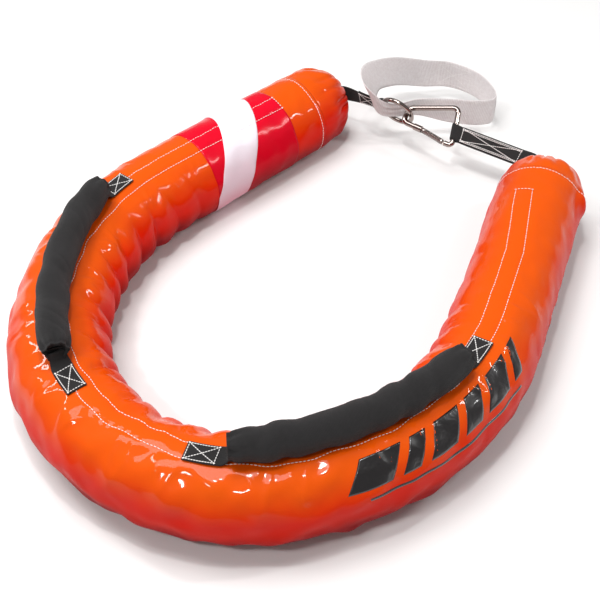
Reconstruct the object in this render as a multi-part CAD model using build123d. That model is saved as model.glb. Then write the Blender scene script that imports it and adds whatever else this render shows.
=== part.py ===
from build123d import *
import math
import os

# Horseshoe rescue sling (lifebuoy sling). Millimetres, +Z up, floor at z = 0.
# +Y runs from the middle of the bow to the clip that closes the two arms.
# Plan lengths are first measured from the middle of the bow; ORIGIN_Y then puts
# the origin under the middle of the whole object's box.

# ---- float: an orange fabric tube over three foam lengths -----------------------
TUBE_D = 118.0            # over the cover
COVER_T = 1.2             # coated fabric
WEB_T = 1.6               # thickness of the 25 mm webbing
WEB_W = 25.0
CORE_GAP = 3.4            # cover to foam, where the load webbing runs
FOAM_JOINT = 1.0          # gap between two foam lengths
BOW_R = 245.0             # centreline radius across the bow
BOW_TURN = 96.0           # degrees
SHOULDER_R = 325.0        # the easier bend on each side of the bow
SHOULDER_TURN = 56.0
ARM_L = 255.0             # straight stretch of each arm, up to the end seam
CAP_L = 72.0              # gathered end, from the seam to its blunt face
CAP_FACE_IN = 29.0        # how much smaller its blunt face is than the tube, in radius
CAP_MID_IN = 10.5
CAP_MID_AT = 0.62         # share of the cap's length where that second radius is met
SEAM_GAP = 0.1

# ---- red panel with a diagonal white band, on the left arm ------------------------
PANEL_FROM_END = 126.0    # from the blunt end, along the arm
PANEL_L = 148.0
PANEL_T = 0.5
PANEL_TURN = 260.0        # degrees round the tube
PANEL_MID = 25.0          # middle of the panel, degrees from the top, inwards
BAND_W = 60.0
BAND_SWING = 34.0         # how far the white band's middle moves each way
BAND_SHIFT = 17.0         # its middle, from the panel's middle towards the bow

# ---- load webbing channel and the two grips ------------------------------------------
CHANNEL_AT = 12.0         # degrees from the top, towards the inside
GRIP_MID = 578.0          # from each blunt end, along the tube
GRIP_L = 288.0            # between the centres of its round ends
GRIP_D = 38.0
GRIP_WALL = 2.0           # black fabric sleeve
GRIP_NECK_D = 22.0        # gathered ends
GRIP_NECK_L = 16.0
GRIP_FLATTER = 8.0        # the grip's bow is this much flatter than the tube's
GRIP_LIFT = 0.6           # grip above the cover
TAB_L = 33.0              # sewn end of the grip's webbing
TAB_GAP = 0.5             # upright part of the tab to the grip's round end
TAB_SLOPE = 6.0           # how far it leans on its way up from the cover
TAB_FLOAT = 0.1
CORE_BORE = 0.4           # play of the webbing inside the grip's core

# ---- clip chain: tail, ring, carabiner, tail ---------------------------------------------
CHAIN_OUT = 15.0          # chain line beyond the blunt ends
CHAIN_UP = 1.0            # chain line above the tube's middle
CLIP_X = -58.0            # where the ring pulls on the carabiner
ROD_D = 8.0               # carabiner wire
RING_ROD = 7.0
RING_SPARE = 17.0         # free way inside the ring beyond the webbing's width
RING_TILT = 20.0          # ring's plane, degrees from upright
CLIP_TILT = 30.0          # carabiner's plane, degrees from flat
METAL_GAP = 0.4
TAIL_START = 148.0        # where the free tails begin, each side of the middle
TAIL_GAP = 0.6
EYE_GAP = 0.4

# ---- carabiner outline: length along the chain, width across it -----------------------
CLIP_NARROW = 12.0        # half width of the narrow end
CLIP_L = 84.0             # narrow end to the eye's side, on centrelines
CLIP_TOP = 38.0           # spine corner above the chain line
CLIP_LOW = 20.0           # gate corner below it
CLIP_BACK = 15.0          # how far the spine corner stands back
GATE_OPEN_AT = 33.0       # nose end
HINGE_BACK = 15.0         # hinge pin, back from the eye's side
NOSE_D = 10.0
NOSE_L = 13.0
PIN_R = 1.3
PIN_PLAY = 0.05
BLADE_T = 2.6
SLIT = 3.2
GATE_D = 8.0
GATE_BORE_D = 4.6
SPRING_WIRE = 0.6

# ---- lifting loop -----------------------------------------------------------------------
LOOP_W = 45.0
LOOP_T = 2.4
LOOP_PINCH = 23.0         # width where it is gathered in the ring
LOOP_IN_RING = 1.5        # where it lies, from the ring's centre towards the left tail
LOOP_STEPS = 5            # stations between two guide points

TUBE_R = TUBE_D / 2
CAP_FACE_R = TUBE_R - CAP_FACE_IN
CAP_MID_R = TUBE_R - CAP_MID_IN
CHAIN_Z = TUBE_R + CHAIN_UP
RING_R = (WEB_W + RING_SPARE + RING_ROD) / 2     # centreline radius
FOAM_R = TUBE_R - COVER_T - CORE_GAP
ROD_R = ROD_D / 2
RING_ROD_R = RING_ROD / 2
GRIP_R = GRIP_D / 2
BOW_HALF = BOW_R * math.radians(BOW_TURN / 2)
SHOULDER_L = SHOULDER_R * math.radians(SHOULDER_TURN)
SEAM_AT = BOW_HALF + SHOULDER_L + ARM_L     # from the bow's middle, along the tube
HALF_L = SEAM_AT + CAP_L


def station(distance):
    """Plan point and heading (degrees from +X) at a distance from the bow's middle.
    Positive distances run to the right arm, negative ones to the left; the heading
    always points towards the right arm's end, so the inside is on its left."""
    s = abs(distance)
    a = min(s / BOW_R, math.radians(BOW_TURN / 2))
    x = BOW_R * math.sin(a)
    y = BOW_R * (1 - math.cos(a))
    s -= BOW_R * a
    b = min(s / SHOULDER_R, math.radians(SHOULDER_TURN))
    x += SHOULDER_R * (math.sin(a + b) - math.sin(a))
    y += SHOULDER_R * (math.cos(a) - math.cos(a + b))
    s -= SHOULDER_R * b
    x += s * math.cos(a + b)
    y += s * math.sin(a + b)
    heading = math.degrees(a + b)
    if distance < 0:
        return -x, y, -heading
    return x, y, heading


def along(distance):
    """Unit plan vector along the tube, towards the right arm's end."""
    heading = math.radians(station(distance)[2])
    return Vector(math.cos(heading), math.sin(heading), 0)


def inward(distance):
    """Unit plan vector to the inside of the horseshoe."""
    heading = math.radians(station(distance)[2])
    return Vector(-math.sin(heading), math.cos(heading), 0)


def on_tube(distance, around, height=0.0):
    """Point on the cover, or height above it: around is degrees from the top."""
    x, y, _ = station(distance)
    r = TUBE_R + height
    t = math.radians(around)
    return Vector(x, y, TUBE_R + r * math.cos(t)) + inward(distance) * (r * math.sin(t))


TIP_Y = station(HALF_L)[1]
CHAIN_Y = TIP_Y + CHAIN_OUT


def save(shape, name):
    """Move the piece to the row's frame and write it."""
    placed = Pos(0, -ORIGIN_Y, 0) * shape
    placed.label = name
    export_step(placed, f"parts/{name}.step")


def plan_path(start, end):
    """Tangent lines and arcs of the centreline between two distances."""
    marks = [-SEAM_AT, -BOW_HALF - SHOULDER_L, -BOW_HALF, 0, BOW_HALF, BOW_HALF + SHOULDER_L, SEAM_AT]
    stops = [start] + [m for m in marks if start + 1 < m < end - 1] + [end]
    edges = []
    for a, b in zip(stops, stops[1:]):
        p, m, q = (Vector(*station(s)[:2], TUBE_R) for s in (a, (a + b) / 2, b))
        straight = abs(station(a)[2] - station(b)[2]) < 1e-6
        edges.append(Line(p, q) if straight else ThreePointArc(p, m, q))
    return Wire(edges)


def cross_plane(distance):
    """Plane square to the tube: local X points inwards and local Y up."""
    x, y, _ = station(distance)
    return Plane(origin=(x, y, TUBE_R), x_dir=inward(distance), z_dir=along(distance))


def sector(r_in, r_out, middle, turn):
    """Flat ring sector; angles are degrees from the top, positive inwards."""
    a, m, b = (math.radians(middle + k * turn / 2) for k in (-1, 0, 1))
    outer = [Vector(math.sin(t), math.cos(t), 0) * r_out for t in (a, m, b)]
    inner = [Vector(math.sin(t), math.cos(t), 0) * r_in for t in (b, m, a)]
    arcs = [ThreePointArc(*outer), ThreePointArc(*inner)]
    return make_face([arcs[0], Line(outer[2], inner[0]), arcs[1], Line(inner[2], outer[0])])


def tube_between(section, start, end):
    """Sweep a section along the centreline from start to end."""
    plane = cross_plane(start)
    return sweep(plane * section, path=plan_path(start, end))


def ribbon(stations, closed=False):
    """Webbing as one solid. Each station is (centre, width vector, thickness vector)."""
    rims = []
    for centre, wide, thick in stations:
        w, t = wide * 0.5, thick * 0.5
        rims.append([centre + w + t, centre - w + t, centre - w - t, centre + w - t])
    faces = []
    pairs = list(zip(rims, rims[1:])) + ([(rims[-1], rims[0])] if closed else [])
    for a, b in pairs:
        for i in range(4):
            j = (i + 1) % 4
            faces.append(Face(Wire.make_polygon([a[i], a[j], b[j]])))
            faces.append(Face(Wire.make_polygon([a[i], b[j], b[i]])))
    if not closed:
        for rim in (rims[0], rims[-1]):
            faces.append(Face(Wire.make_polygon([rim[0], rim[1], rim[2]])))
            faces.append(Face(Wire.make_polygon([rim[0], rim[2], rim[3]])))
    solid = Solid(Shell(faces))
    return solid if solid.volume > 0 else -solid


# ---- float ---------------------------------------------------------------------------

def make_foam():
    """Three round foam lengths that butt inside the cover."""
    joint = BOW_HALF
    spans = {
        "foam_left_arm": (-SEAM_AT, -joint - FOAM_JOINT / 2),
        "foam_bow": (-joint + FOAM_JOINT / 2, joint - FOAM_JOINT / 2),
        "foam_right_arm": (joint + FOAM_JOINT / 2, SEAM_AT),
    }
    for name, (a, b) in spans.items():
        save(tube_between(Circle(FOAM_R), a, b), name)


def make_cover():
    """The orange tube, from end seam to end seam."""
    section = Circle(TUBE_R) - Circle(TUBE_R - COVER_T)
    save(tube_between(section, -SEAM_AT + SEAM_GAP, SEAM_AT - SEAM_GAP), "cover")


def cap_profile(inset):
    """Half outline of a gathered end, set in by a wall."""
    r0, r1, r2 = TUBE_R - inset, CAP_MID_R - inset, CAP_FACE_R - inset * 0.5
    length = CAP_L - inset
    arc = ThreePointArc((r0, 0), (r1, CAP_L * CAP_MID_AT), (r2, length))
    face = Line((r2, length), (0, length))
    axis = Line((0, length), (0, 0))
    return make_face([arc, face, axis, Line((0, 0), (r0, 0))])


def make_caps():
    """Blunt gathered ends, each with the slit that its webbing tail leaves by."""
    for side, name in ((-1, "left_end_cap"), (1, "right_end_cap")):
        x, y, _ = station(side * SEAM_AT)
        out = along(side * SEAM_AT) * side
        frame = Plane(origin=(x, y, TUBE_R), x_dir=(0, 0, 1), z_dir=out)
        turned = Plane(origin=(0, 0, 0), x_dir=(1, 0, 0), z_dir=(0, -1, 0))
        dome = revolve(turned * cap_profile(0), Axis.Z)
        hollow = revolve(turned * cap_profile(COVER_T), Axis.Z)
        slit = Pos(0, 0, CAP_L) * Box(WEB_W + 2, WEB_T + 1.2, 3 * COVER_T)
        lift = Pos(CHAIN_Z - TUBE_R, 0, 0)
        save(frame * (dome - hollow - lift * slit), name)


def make_panel():
    """Red panel, and the white band sewn across it, on the straight left arm."""
    start = -HALF_L + PANEL_FROM_END
    x, y, _ = station(start)
    plane = cross_plane(start)
    red = sector(TUBE_R + SEAM_GAP, TUBE_R + SEAM_GAP + PANEL_T, PANEL_MID, PANEL_TURN)
    save(extrude(plane * red, PANEL_L), "red_panel")
    r_in = TUBE_R + 2 * SEAM_GAP + PANEL_T
    shell = extrude(plane * sector(r_in, r_in + PANEL_T, PANEL_MID, PANEL_TURN), PANEL_L)
    run = along(start)
    middle = Vector(x, y, TUBE_R) + run * (PANEL_L / 2 + BAND_SHIFT)
    # a slab that leans across the tube cuts the band, so its edges run diagonally
    across = (inward(start) + Vector(0, 0, -1)).normalized()
    square = (run - across * (BAND_SWING / TUBE_R)).normalized()
    slab = Box(4 * TUBE_R, 4 * TUBE_R, BAND_W * square.dot(run))
    save(shell & Plane(origin=middle, x_dir=(0, 0, 1), z_dir=square) * slab, "white_band")


def make_load_webbing():
    """Webbing sewn under the cover's top, then led through each end to its slit."""
    r_out = TUBE_R - COVER_T - SEAM_GAP - 0.3
    turn = math.degrees(WEB_W / r_out)
    whole = tube_between(sector(r_out - WEB_T, r_out, CHANNEL_AT, turn), -SEAM_AT, SEAM_AT)
    tilt = math.radians(CHANNEL_AT)
    upright = Vector(0, 0, -1)
    for side in (-1, 1):
        seam = side * SEAM_AT
        x, y, _ = station(seam)
        out = along(seam) * side
        flat = inward(seam) * math.cos(tilt) + upright * math.sin(tilt)
        r_mid = r_out - WEB_T / 2 - 0.6
        start = Vector(x, y, TUBE_R) + (inward(seam) * math.sin(tilt) - upright * math.cos(tilt)) * r_mid
        face = Vector(x, y, CHAIN_Z) + out * (CAP_L - 6)
        end = Vector(side * (TAIL_START + TAIL_GAP), CHAIN_Y, CHAIN_Z)
        rows = [(start - out * 1.5, flat, 0.72), (start + out * 4, flat, 0.72)]
        # inside the cap it turns from flat on the foam to upright in the slit
        for k in (0.4, 0.7):
            drop = start + (face - start) * k + Vector(0, 0, 5)
            rows.append((drop, (flat * (1 - k) + upright * k).normalized(), 0.9))
        rows.append((face, upright, 1.0))
        leave = face + out * 9
        rows.append((leave, upright, 1.0))
        # outside it turns towards the other arm on a quarter of an ellipse
        for k in (1, 2, 3, 4):
            a = math.pi / 2 * k / 4
            corner = Vector(leave.X, CHAIN_Y, CHAIN_Z)
            step = corner + (leave - corner) * math.cos(a) + (end - corner) * (1 - math.cos(a)) * (k / 4)
            rows.append((end if k == 4 else step, upright, 1.0))
        stations = []
        for i, (centre, wide, share) in enumerate(rows):
            ahead = rows[min(i + 1, len(rows) - 1)][0] - rows[max(i - 1, 0)][0]
            thick = ahead.cross(wide).normalized() * WEB_T
            stations.append((centre, wide * (WEB_W * share), thick))
        whole = whole.fuse(ribbon(stations))
    save(whole, "load_webbing")


# ---- grips ---------------------------------------------------------------------------

def grip_curve(side):
    """Plan arc of a grip: its two ends and its middle, at the grip's height."""
    mid_s = side * (HALF_L - GRIP_MID)
    ends = [mid_s - GRIP_L / 2, mid_s + GRIP_L / 2]
    height = TUBE_D + GRIP_R + GRIP_LIFT
    points = []
    for s, pull in ((ends[0], 0), (mid_s, GRIP_FLATTER), (ends[1], 0)):
        x, y, _ = station(s)
        points.append(Vector(x, y, height) + inward(s) * pull)
    return points


def make_grips():
    """Each grip: padded core, fabric sleeve with gathered ends, webbing through it."""
    for side, name in ((-1, "left"), (1, "right")):
        a, m, b = grip_curve(side)
        arc = ThreePointArc(a, m, b)
        length = arc.length
        neck = GRIP_NECK_L / length
        inner = arc.trim(neck, 1 - neck)

        def disc(edge, at, r):
            return Plane(origin=edge @ at, z_dir=edge % at) * Circle(r)

        # round ends about the points that the grip swings on
        body = sweep(disc(inner, 0, GRIP_R), path=Wire([inner]))
        hollow = sweep(disc(inner, 0, GRIP_R - GRIP_WALL), path=Wire([inner]))
        neck_r = GRIP_NECK_D / 2
        for at, mate in ((0, neck), (1, 1 - neck)):
            end = Pos(*(arc @ at))
            body = body.fuse(loft([disc(arc, at, neck_r), disc(arc, mate, GRIP_R)]), end * Sphere(neck_r))
            bore = loft([disc(arc, at, neck_r - GRIP_WALL), disc(arc, mate, GRIP_R - GRIP_WALL)])
            hollow = hollow.fuse(bore, end * Sphere(neck_r - GRIP_WALL))
        save(body - hollow, f"{name}_grip_sleeve")

        def flat(edge, at, width, thick):
            tangent = edge % at
            plane = Plane(origin=edge @ at, x_dir=Vector(0, 0, 1).cross(tangent), z_dir=tangent)
            return plane * Rectangle(width, thick)

        core_r = GRIP_R - GRIP_WALL - 0.2
        slot = sweep(flat(inner, 0, WEB_W + 2 * CORE_BORE, WEB_T + 2 * CORE_BORE), path=Wire([inner]))
        core = sweep(disc(inner, 0, core_r), path=Wire([inner])) - slot
        save(core, f"{name}_grip_core")
        stations = []
        steps = 16
        narrow = GRIP_NECK_D - 2 * GRIP_WALL - 1
        for i in range(steps + 1):
            at = 0.004 + 0.992 * i / steps
            edge_room = min(at, 1 - at) * length
            wide = narrow if edge_room < GRIP_NECK_L else WEB_W
            tangent = arc % at
            across = Vector(0, 0, 1).cross(tangent).normalized()
            stations.append((arc @ at, across * wide, Vector(0, 0, WEB_T)))
        save(ribbon(stations), f"{name}_grip_webbing")


def make_tabs():
    """Sewn webbing ends: flat on the cover, then rising to the grip's end."""
    for side, name in ((-1, "left"), (1, "right")):
        points = grip_curve(side)
        mid_s = side * (HALF_L - GRIP_MID)
        for way, tip in ((-1, points[0]), (1, points[2])):
            end_s = mid_s + way * GRIP_L / 2
            stations = []
            upright = GRIP_NECK_D / 2 + TAB_GAP + WEB_T / 2
            for share in (1, 0.66, 0.33, 0):
                s = end_s + way * (upright + TAB_SLOPE + share * TAB_L)
                flat = Vector(0, 0, WEB_T)
                stations.append((on_tube(s, 0, WEB_T / 2 + TAB_FLOAT), inward(s) * WEB_W, flat))
            s = end_s + way * upright
            x, y, _ = station(s)
            wide = inward(s) * (GRIP_NECK_D - WEB_T)
            stations.append((Vector(x, y, tip.Z), wide, along(s) * (way * WEB_T)))
            where = "arm" if way == side else "bow"
            save(ribbon(stations), f"{name}_grip_{where}_tab")


# ---- clip chain ---------------------------------------------------------------------------

def clip_frame():
    """Carabiner's plane: local X along the chain, local Y across to the spine."""
    t = math.radians(CLIP_TILT)
    return Plane(origin=(CLIP_X, CHAIN_Y, CHAIN_Z), x_dir=(1, 0, 0), z_dir=(0, -math.sin(t), math.cos(t)))


def ring_centre():
    return Vector(CLIP_X + ROD_R + RING_ROD_R + METAL_GAP - RING_R, CHAIN_Y, CHAIN_Z)


def ring_up():
    """Direction in the ring's plane that is square to the chain."""
    t = math.radians(RING_TILT)
    return Vector(0, -math.sin(t), math.cos(t))


def make_ring():
    """Welded steel ring that joins the left tail, the loop and the carabiner."""
    up = ring_up()
    normal = Vector(1, 0, 0).cross(up)
    plane = Plane(origin=ring_centre(), x_dir=(1, 0, 0), z_dir=normal)
    save(plane * Torus(RING_R, RING_ROD_R), "steel_ring")


def hinge_point():
    return CLIP_L - HINGE_BACK, -CLIP_LOW + 0.5


def nose_point():
    return GATE_OPEN_AT, -CLIP_NARROW - 1.5


def make_carabiner():
    frame = clip_frame()
    hx, hy = hinge_point()
    nx, ny = nose_point()
    gate_dir = (Vector(nx, ny, 0) - Vector(hx, hy, 0)).normalized()
    gate_side = Vector(-gate_dir.Y, gate_dir.X, 0)
    reach = math.hypot(nx - hx, ny - hy)
    shoulder = Vector(hx, hy, 0) - gate_dir * (GATE_D / 2 + 0.8)
    corner = Vector(CLIP_L + 2.5, -CLIP_LOW - 0.2, 0)
    spine = Vector(CLIP_L - CLIP_BACK, CLIP_TOP, 0)
    narrow_top = Vector(-1.0, CLIP_NARROW - 1.0, 0)
    narrow_low = Vector(0.0, -CLIP_NARROW, 0)
    start = Vector(nx, ny, 0)
    wire = FilletPolyline([start, narrow_low, narrow_top, spine, corner, shoulder],
                          radius=[9.0, 9.0, 9.0, 5.5])
    first = Plane(origin=wire @ 0, z_dir=wire % 0)
    body = sweep(first * Circle(ROD_R), path=wire)
    at_nose = Plane(origin=start, x_dir=(0, 0, 1), z_dir=wire % 0)
    collar = at_nose * Pos(0, 0, NOSE_L / 2) * Cylinder(NOSE_D / 2, NOSE_L)
    body = body.fuse(collar)
    # hinge tongue and nose blade, both in the carabiner's plane
    tongue = Pos(hx, hy, 0) * Cylinder(GATE_D / 2 - 0.6, BLADE_T)
    neck_c = Vector(hx, hy, 0) - gate_dir * (GATE_D / 2 + 0.4)
    neck_plane = Plane(origin=neck_c, x_dir=gate_dir, z_dir=(0, 0, 1))
    neck = neck_plane * Box(GATE_D + 1.6, GATE_D * 0.62, BLADE_T)
    blade_l = 7.0
    latch = Vector(nx, ny, 0) - gate_dir * 4.0
    blade_plane = Plane(origin=Vector(nx, ny, 0) - gate_dir * (blade_l / 2 - 1), x_dir=gate_dir, z_dir=(0, 0, 1))
    blade = blade_plane * Box(blade_l + 2, GATE_D * 0.6, BLADE_T)
    notch_plane = Plane(origin=latch, x_dir=gate_dir, z_dir=(0, 0, 1))
    toward = 1 if gate_side.Y > 0 else -1
    notch_r = PIN_R + 0.25
    notch = notch_plane * Cylinder(notch_r, 2 * BLADE_T)
    notch += notch_plane * Pos(0, toward * GATE_D / 2, 0) * Box(2 * notch_r, GATE_D, 2 * BLADE_T)
    body = body.fuse(tongue, neck, blade) - notch - Pos(hx, hy, 0) * Cylinder(PIN_R, 20)
    save(frame * body, "carabiner_body")

    # gate: tube with a slit at each end, pinned at the tongue
    gate_l = reach - 1.0
    gate_plane = Plane(origin=Vector(hx, hy, 0), x_dir=(0, 0, 1), z_dir=gate_dir)
    tube = Pos(0, 0, gate_l / 2) * Cylinder(GATE_D / 2, gate_l) + Sphere(GATE_D / 2)
    bore_l = gate_l - 20
    tube -= Pos(0, 0, bore_l / 2) * Cylinder(GATE_BORE_D / 2, bore_l)
    slit_a = Box(SLIT, 3 * GATE_D, 2 * (GATE_D / 2 + 1.0))
    slit_b = Pos(0, 0, gate_l) * Box(SLIT, 3 * GATE_D, 2 * (blade_l + 0.6))
    tube -= slit_a + slit_b
    gate = gate_plane * tube
    gate -= Pos(hx, hy, 0) * Cylinder(PIN_R + PIN_PLAY, 20)
    gate -= Pos(latch.X, latch.Y, 0) * Cylinder(PIN_R, 20)
    save(frame * gate, "carabiner_gate")
    hinge_pin = Pos(hx, hy, 0) * Cylinder(PIN_R, GATE_D)
    latch_pin = Pos(latch.X, latch.Y, 0) * Cylinder(PIN_R, GATE_D * 0.94)
    save(frame * hinge_pin, "gate_hinge_pin")
    save(frame * latch_pin, "gate_latch_pin")
    # plunger and spring in the gate's bore press on the tongue and close the gate
    head = GATE_D / 2 + 1.2
    plunger_l = 6.0
    spring_l = bore_l - head - plunger_l - 0.2
    plunger = gate_plane * Pos(0, 0, head + plunger_l / 2) * Cylinder(GATE_BORE_D / 2 - 0.15, plunger_l)
    save(frame * plunger, "gate_plunger")
    z0 = head + plunger_l + 0.1
    coil_r = GATE_BORE_D / 2 - SPRING_WIRE / 2 - 0.15
    coil = Pos(0, 0, z0 + spring_l / 2) * (Cylinder(coil_r + SPRING_WIRE / 2, spring_l)
                                           - Cylinder(coil_r - SPRING_WIRE / 2, spring_l))
    save(frame * (gate_plane * coil), "gate_spring")


def make_tails():
    """Two webbing tails with sewn eyes: the left one on the ring, the right one on the clip."""
    left_rod = ring_centre() - Vector(RING_R, 0, 0)
    up = ring_up()
    # left eye: long enough for the ring's curve across the webbing's width
    bow = RING_R - math.sqrt(RING_R ** 2 - (WEB_W / 2) ** 2) + EYE_GAP
    eye_r = RING_ROD_R + EYE_GAP
    eye_plane = Plane(origin=left_rod, x_dir=(1, 0, 0), z_dir=up)
    slot = SlotCenterToCenter(bow, 2 * (eye_r + WEB_T)) - SlotCenterToCenter(bow, 2 * eye_r)
    eye = extrude(eye_plane * Pos(bow / 2, 0) * slot, WEB_W / 2, both=True)
    strap_l = left_rod.X - eye_r - WEB_T / 2 + TAIL_START
    strap_x = -TAIL_START + strap_l / 2
    plane = Plane(origin=(strap_x, CHAIN_Y, CHAIN_Z), x_dir=(1, 0, 0), z_dir=up)
    save(eye.fuse(plane * Box(strap_l, 2 * WEB_T, WEB_W)), "left_tail")

    t = math.radians(CLIP_TILT)
    across = Vector(0, math.cos(t), math.sin(t))
    slope = math.atan2(CLIP_BACK + 2.5, CLIP_TOP + CLIP_LOW + 0.2)
    side_dir = (across * math.cos(slope) - Vector(math.sin(slope), 0, 0)).normalized()
    rod_x = CLIP_X + CLIP_L - CLIP_BACK + CLIP_TOP * math.tan(slope)
    rod = Vector(rod_x, CHAIN_Y, CHAIN_Z)
    eye_r = ROD_R + EYE_GAP
    face_n = Vector(1, 0, 0).cross(across)
    run = side_dir.cross(face_n).normalized()
    eye_plane = Plane(origin=rod, x_dir=run, z_dir=side_dir)
    eye = extrude(eye_plane * (Circle(eye_r + WEB_T) - Circle(eye_r)), WEB_W / 2, both=True)
    strap_l = TAIL_START - (rod.X + eye_r + WEB_T / 2)
    strap_x = TAIL_START - strap_l / 2
    plane = Plane(origin=(strap_x, CHAIN_Y, CHAIN_Z), x_dir=(1, 0, 0), z_dir=across)
    room = extrude(eye_plane * Circle(eye_r), WEB_W, both=True)
    save(eye.fuse(plane * Box(strap_l, 2 * WEB_T, WEB_W)) - room, "right_tail")


def loop_band():
    """Closed band of white webbing on edge, gathered where it passes the ring."""
    hold = ring_centre() + Vector(-LOOP_IN_RING, 0, 1)
    # guide points from the ring: offset (x, y, z), width, lean of the lower edge outwards
    above = WEB_W / 2        # the left lobe passes over the tail's upper edge
    guide = [
        ((0, 0, 0), LOOP_PINCH, 0),
        ((-17, -17, above - 4.5), 0.68 * LOOP_W, 10),
        ((-36, -19, above + 14.5), LOOP_W, 24),
        ((-48, 4, above + 23.5), LOOP_W, 38),
        ((-46, 36, above + 15), LOOP_W, 40),
        ((-36, 74, above), LOOP_W, 28),
        ((-16, 112, -6), LOOP_W, 10),
        ((14, 141.3, -14), LOOP_W, 2),
        ((62, 142.3, -17), LOOP_W, 0),
        ((99, 123, -18), LOOP_W, 0),
        ((111, 103, -19), LOOP_W, 0),
        ((97, 84, -18), LOOP_W, 0),
        ((59, 57, -13), 0.95 * LOOP_W, 0),
        ((22, 27, -2), 0.66 * LOOP_W, 0),
    ]
    n = len(guide)

    def smooth(p0, p1, p2, p3, u):
        return 0.5 * (2 * p1 + (p2 - p0) * u + (2 * p0 - 5 * p1 + 4 * p2 - p3) * u * u
                      + (3 * p1 - p0 - 3 * p2 + p3) * u ** 3)

    rows = []
    for i in range(n):
        four = [guide[(i + k - 1) % n] for k in range(4)]
        for k in range(LOOP_STEPS):
            u = k / LOOP_STEPS
            xyz = [smooth(*(g[0][a] for g in four), u) for a in range(3)]
            wide = smooth(*(g[1] for g in four), u)
            lean = smooth(*(g[2] for g in four), u)
            rows.append((hold + Vector(*xyz), wide, lean))
    stations = []
    count = len(rows)
    for i, (centre, wide, lean) in enumerate(rows):
        run = rows[(i + 1) % count][0] - rows[i - 1][0]
        out = Vector(run.Y, -run.X, 0).normalized()      # plan normal, out of the loop
        a = math.radians(lean)
        down = Vector(0, 0, -math.cos(a)) + out * math.sin(a)
        thick = down.cross(run).normalized() * LOOP_T
        stations.append((centre, down * -wide, thick))
    return ribbon(stations, closed=True)


os.makedirs("parts", exist_ok=True)
loop = loop_band()
# the box runs from the bow's outer face to the loop's far side
ORIGIN_Y = (loop.bounding_box().max.Y - TUBE_R) / 2
save(loop, "lifting_loop")
make_foam()
make_cover()
make_caps()
make_panel()
make_load_webbing()
make_grips()
make_tabs()
make_ring()
make_carabiner()
make_tails()
print("half length", round(HALF_L, 1), "tip y", round(TIP_Y, 1), "chain y", round(CHAIN_Y, 1),
      "origin y", round(ORIGIN_Y, 2))
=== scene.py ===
# %% [markdown]
# # A horseshoe rescue sling over its CAD frame
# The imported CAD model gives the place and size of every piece. This lesson dresses it with coated
# fabric, webbing, thread and steel. Lengths are in metres, Z is up, and +Y runs from the bow of
# the horseshoe to the clip between its arms.

import math

import bpy
import numpy as np
from mathutils import Matrix, Vector


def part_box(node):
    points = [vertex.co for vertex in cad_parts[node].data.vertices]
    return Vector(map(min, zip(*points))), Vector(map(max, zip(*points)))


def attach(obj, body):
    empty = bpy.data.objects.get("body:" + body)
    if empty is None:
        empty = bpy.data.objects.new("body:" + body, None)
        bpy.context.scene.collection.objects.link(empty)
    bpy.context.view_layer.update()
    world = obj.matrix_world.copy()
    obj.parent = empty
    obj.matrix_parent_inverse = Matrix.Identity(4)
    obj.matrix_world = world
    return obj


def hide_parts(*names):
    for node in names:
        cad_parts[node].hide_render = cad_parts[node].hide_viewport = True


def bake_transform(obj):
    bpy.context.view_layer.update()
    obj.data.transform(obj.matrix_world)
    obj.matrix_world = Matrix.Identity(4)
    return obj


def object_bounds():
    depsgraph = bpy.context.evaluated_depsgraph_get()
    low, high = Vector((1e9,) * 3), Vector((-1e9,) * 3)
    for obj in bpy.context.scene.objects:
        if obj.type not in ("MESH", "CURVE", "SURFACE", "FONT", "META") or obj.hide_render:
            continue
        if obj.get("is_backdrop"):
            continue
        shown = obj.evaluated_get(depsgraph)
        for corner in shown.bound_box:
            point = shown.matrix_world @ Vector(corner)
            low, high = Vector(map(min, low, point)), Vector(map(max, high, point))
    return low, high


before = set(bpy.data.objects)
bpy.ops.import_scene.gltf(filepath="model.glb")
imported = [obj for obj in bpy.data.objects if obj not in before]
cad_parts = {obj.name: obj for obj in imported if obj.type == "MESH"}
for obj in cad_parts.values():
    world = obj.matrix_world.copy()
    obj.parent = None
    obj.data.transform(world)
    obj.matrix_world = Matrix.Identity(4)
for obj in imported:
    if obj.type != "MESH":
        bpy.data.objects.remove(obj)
cad_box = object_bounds()
print("CAD box", [tuple(round(v, 4) for v in corner) for corner in cad_box])

# %% [markdown]
# ## Helpers for nodes and colours
# Shader and geometry trees are built by hand here. One function adds any node, sets it and links
# it, so each material below reads as a short list. Colours are picked as sRGB hex, and the shader
# wants linear light, so one function converts them.

# %% Node and colour helpers
def linear(hex_colour):
    """sRGB hex to linear RGBA."""
    parts = [int(hex_colour[i:i + 2], 16) / 255 for i in (1, 3, 5)]
    return tuple(v / 12.92 if v <= 0.04045 else ((v + 0.055) / 1.055) ** 2.4 for v in parts) + (1.0,)


def put(tree, kind, inputs=None, **settings):
    """Adds a node. inputs maps a socket to a value, or to the output that feeds it."""
    node = tree.nodes.new(kind)
    for name, value in settings.items():
        setattr(node, name, value)
    for socket, value in (inputs or {}).items():
        if isinstance(value, bpy.types.NodeSocket):
            tree.links.new(value, node.inputs[socket])
        else:
            node.inputs[socket].default_value = value
    return node


def add_object(name, data):
    thing = bpy.data.objects.new(name, data)
    bpy.context.scene.collection.objects.link(thing)
    return thing


def start_material(name):
    """A cleared material, its node tree, and the place on the object as a socket."""
    material = bpy.data.materials.new(name)
    material.use_nodes = True
    material.node_tree.nodes.clear()
    return material, material.node_tree, put(material.node_tree, "ShaderNodeTexCoord").outputs["Object"]


def end_material(tree, shader_inputs):
    shader = put(tree, "ShaderNodeBsdfPrincipled", shader_inputs)
    put(tree, "ShaderNodeOutputMaterial", {"Surface": shader.outputs[0]})

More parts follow.
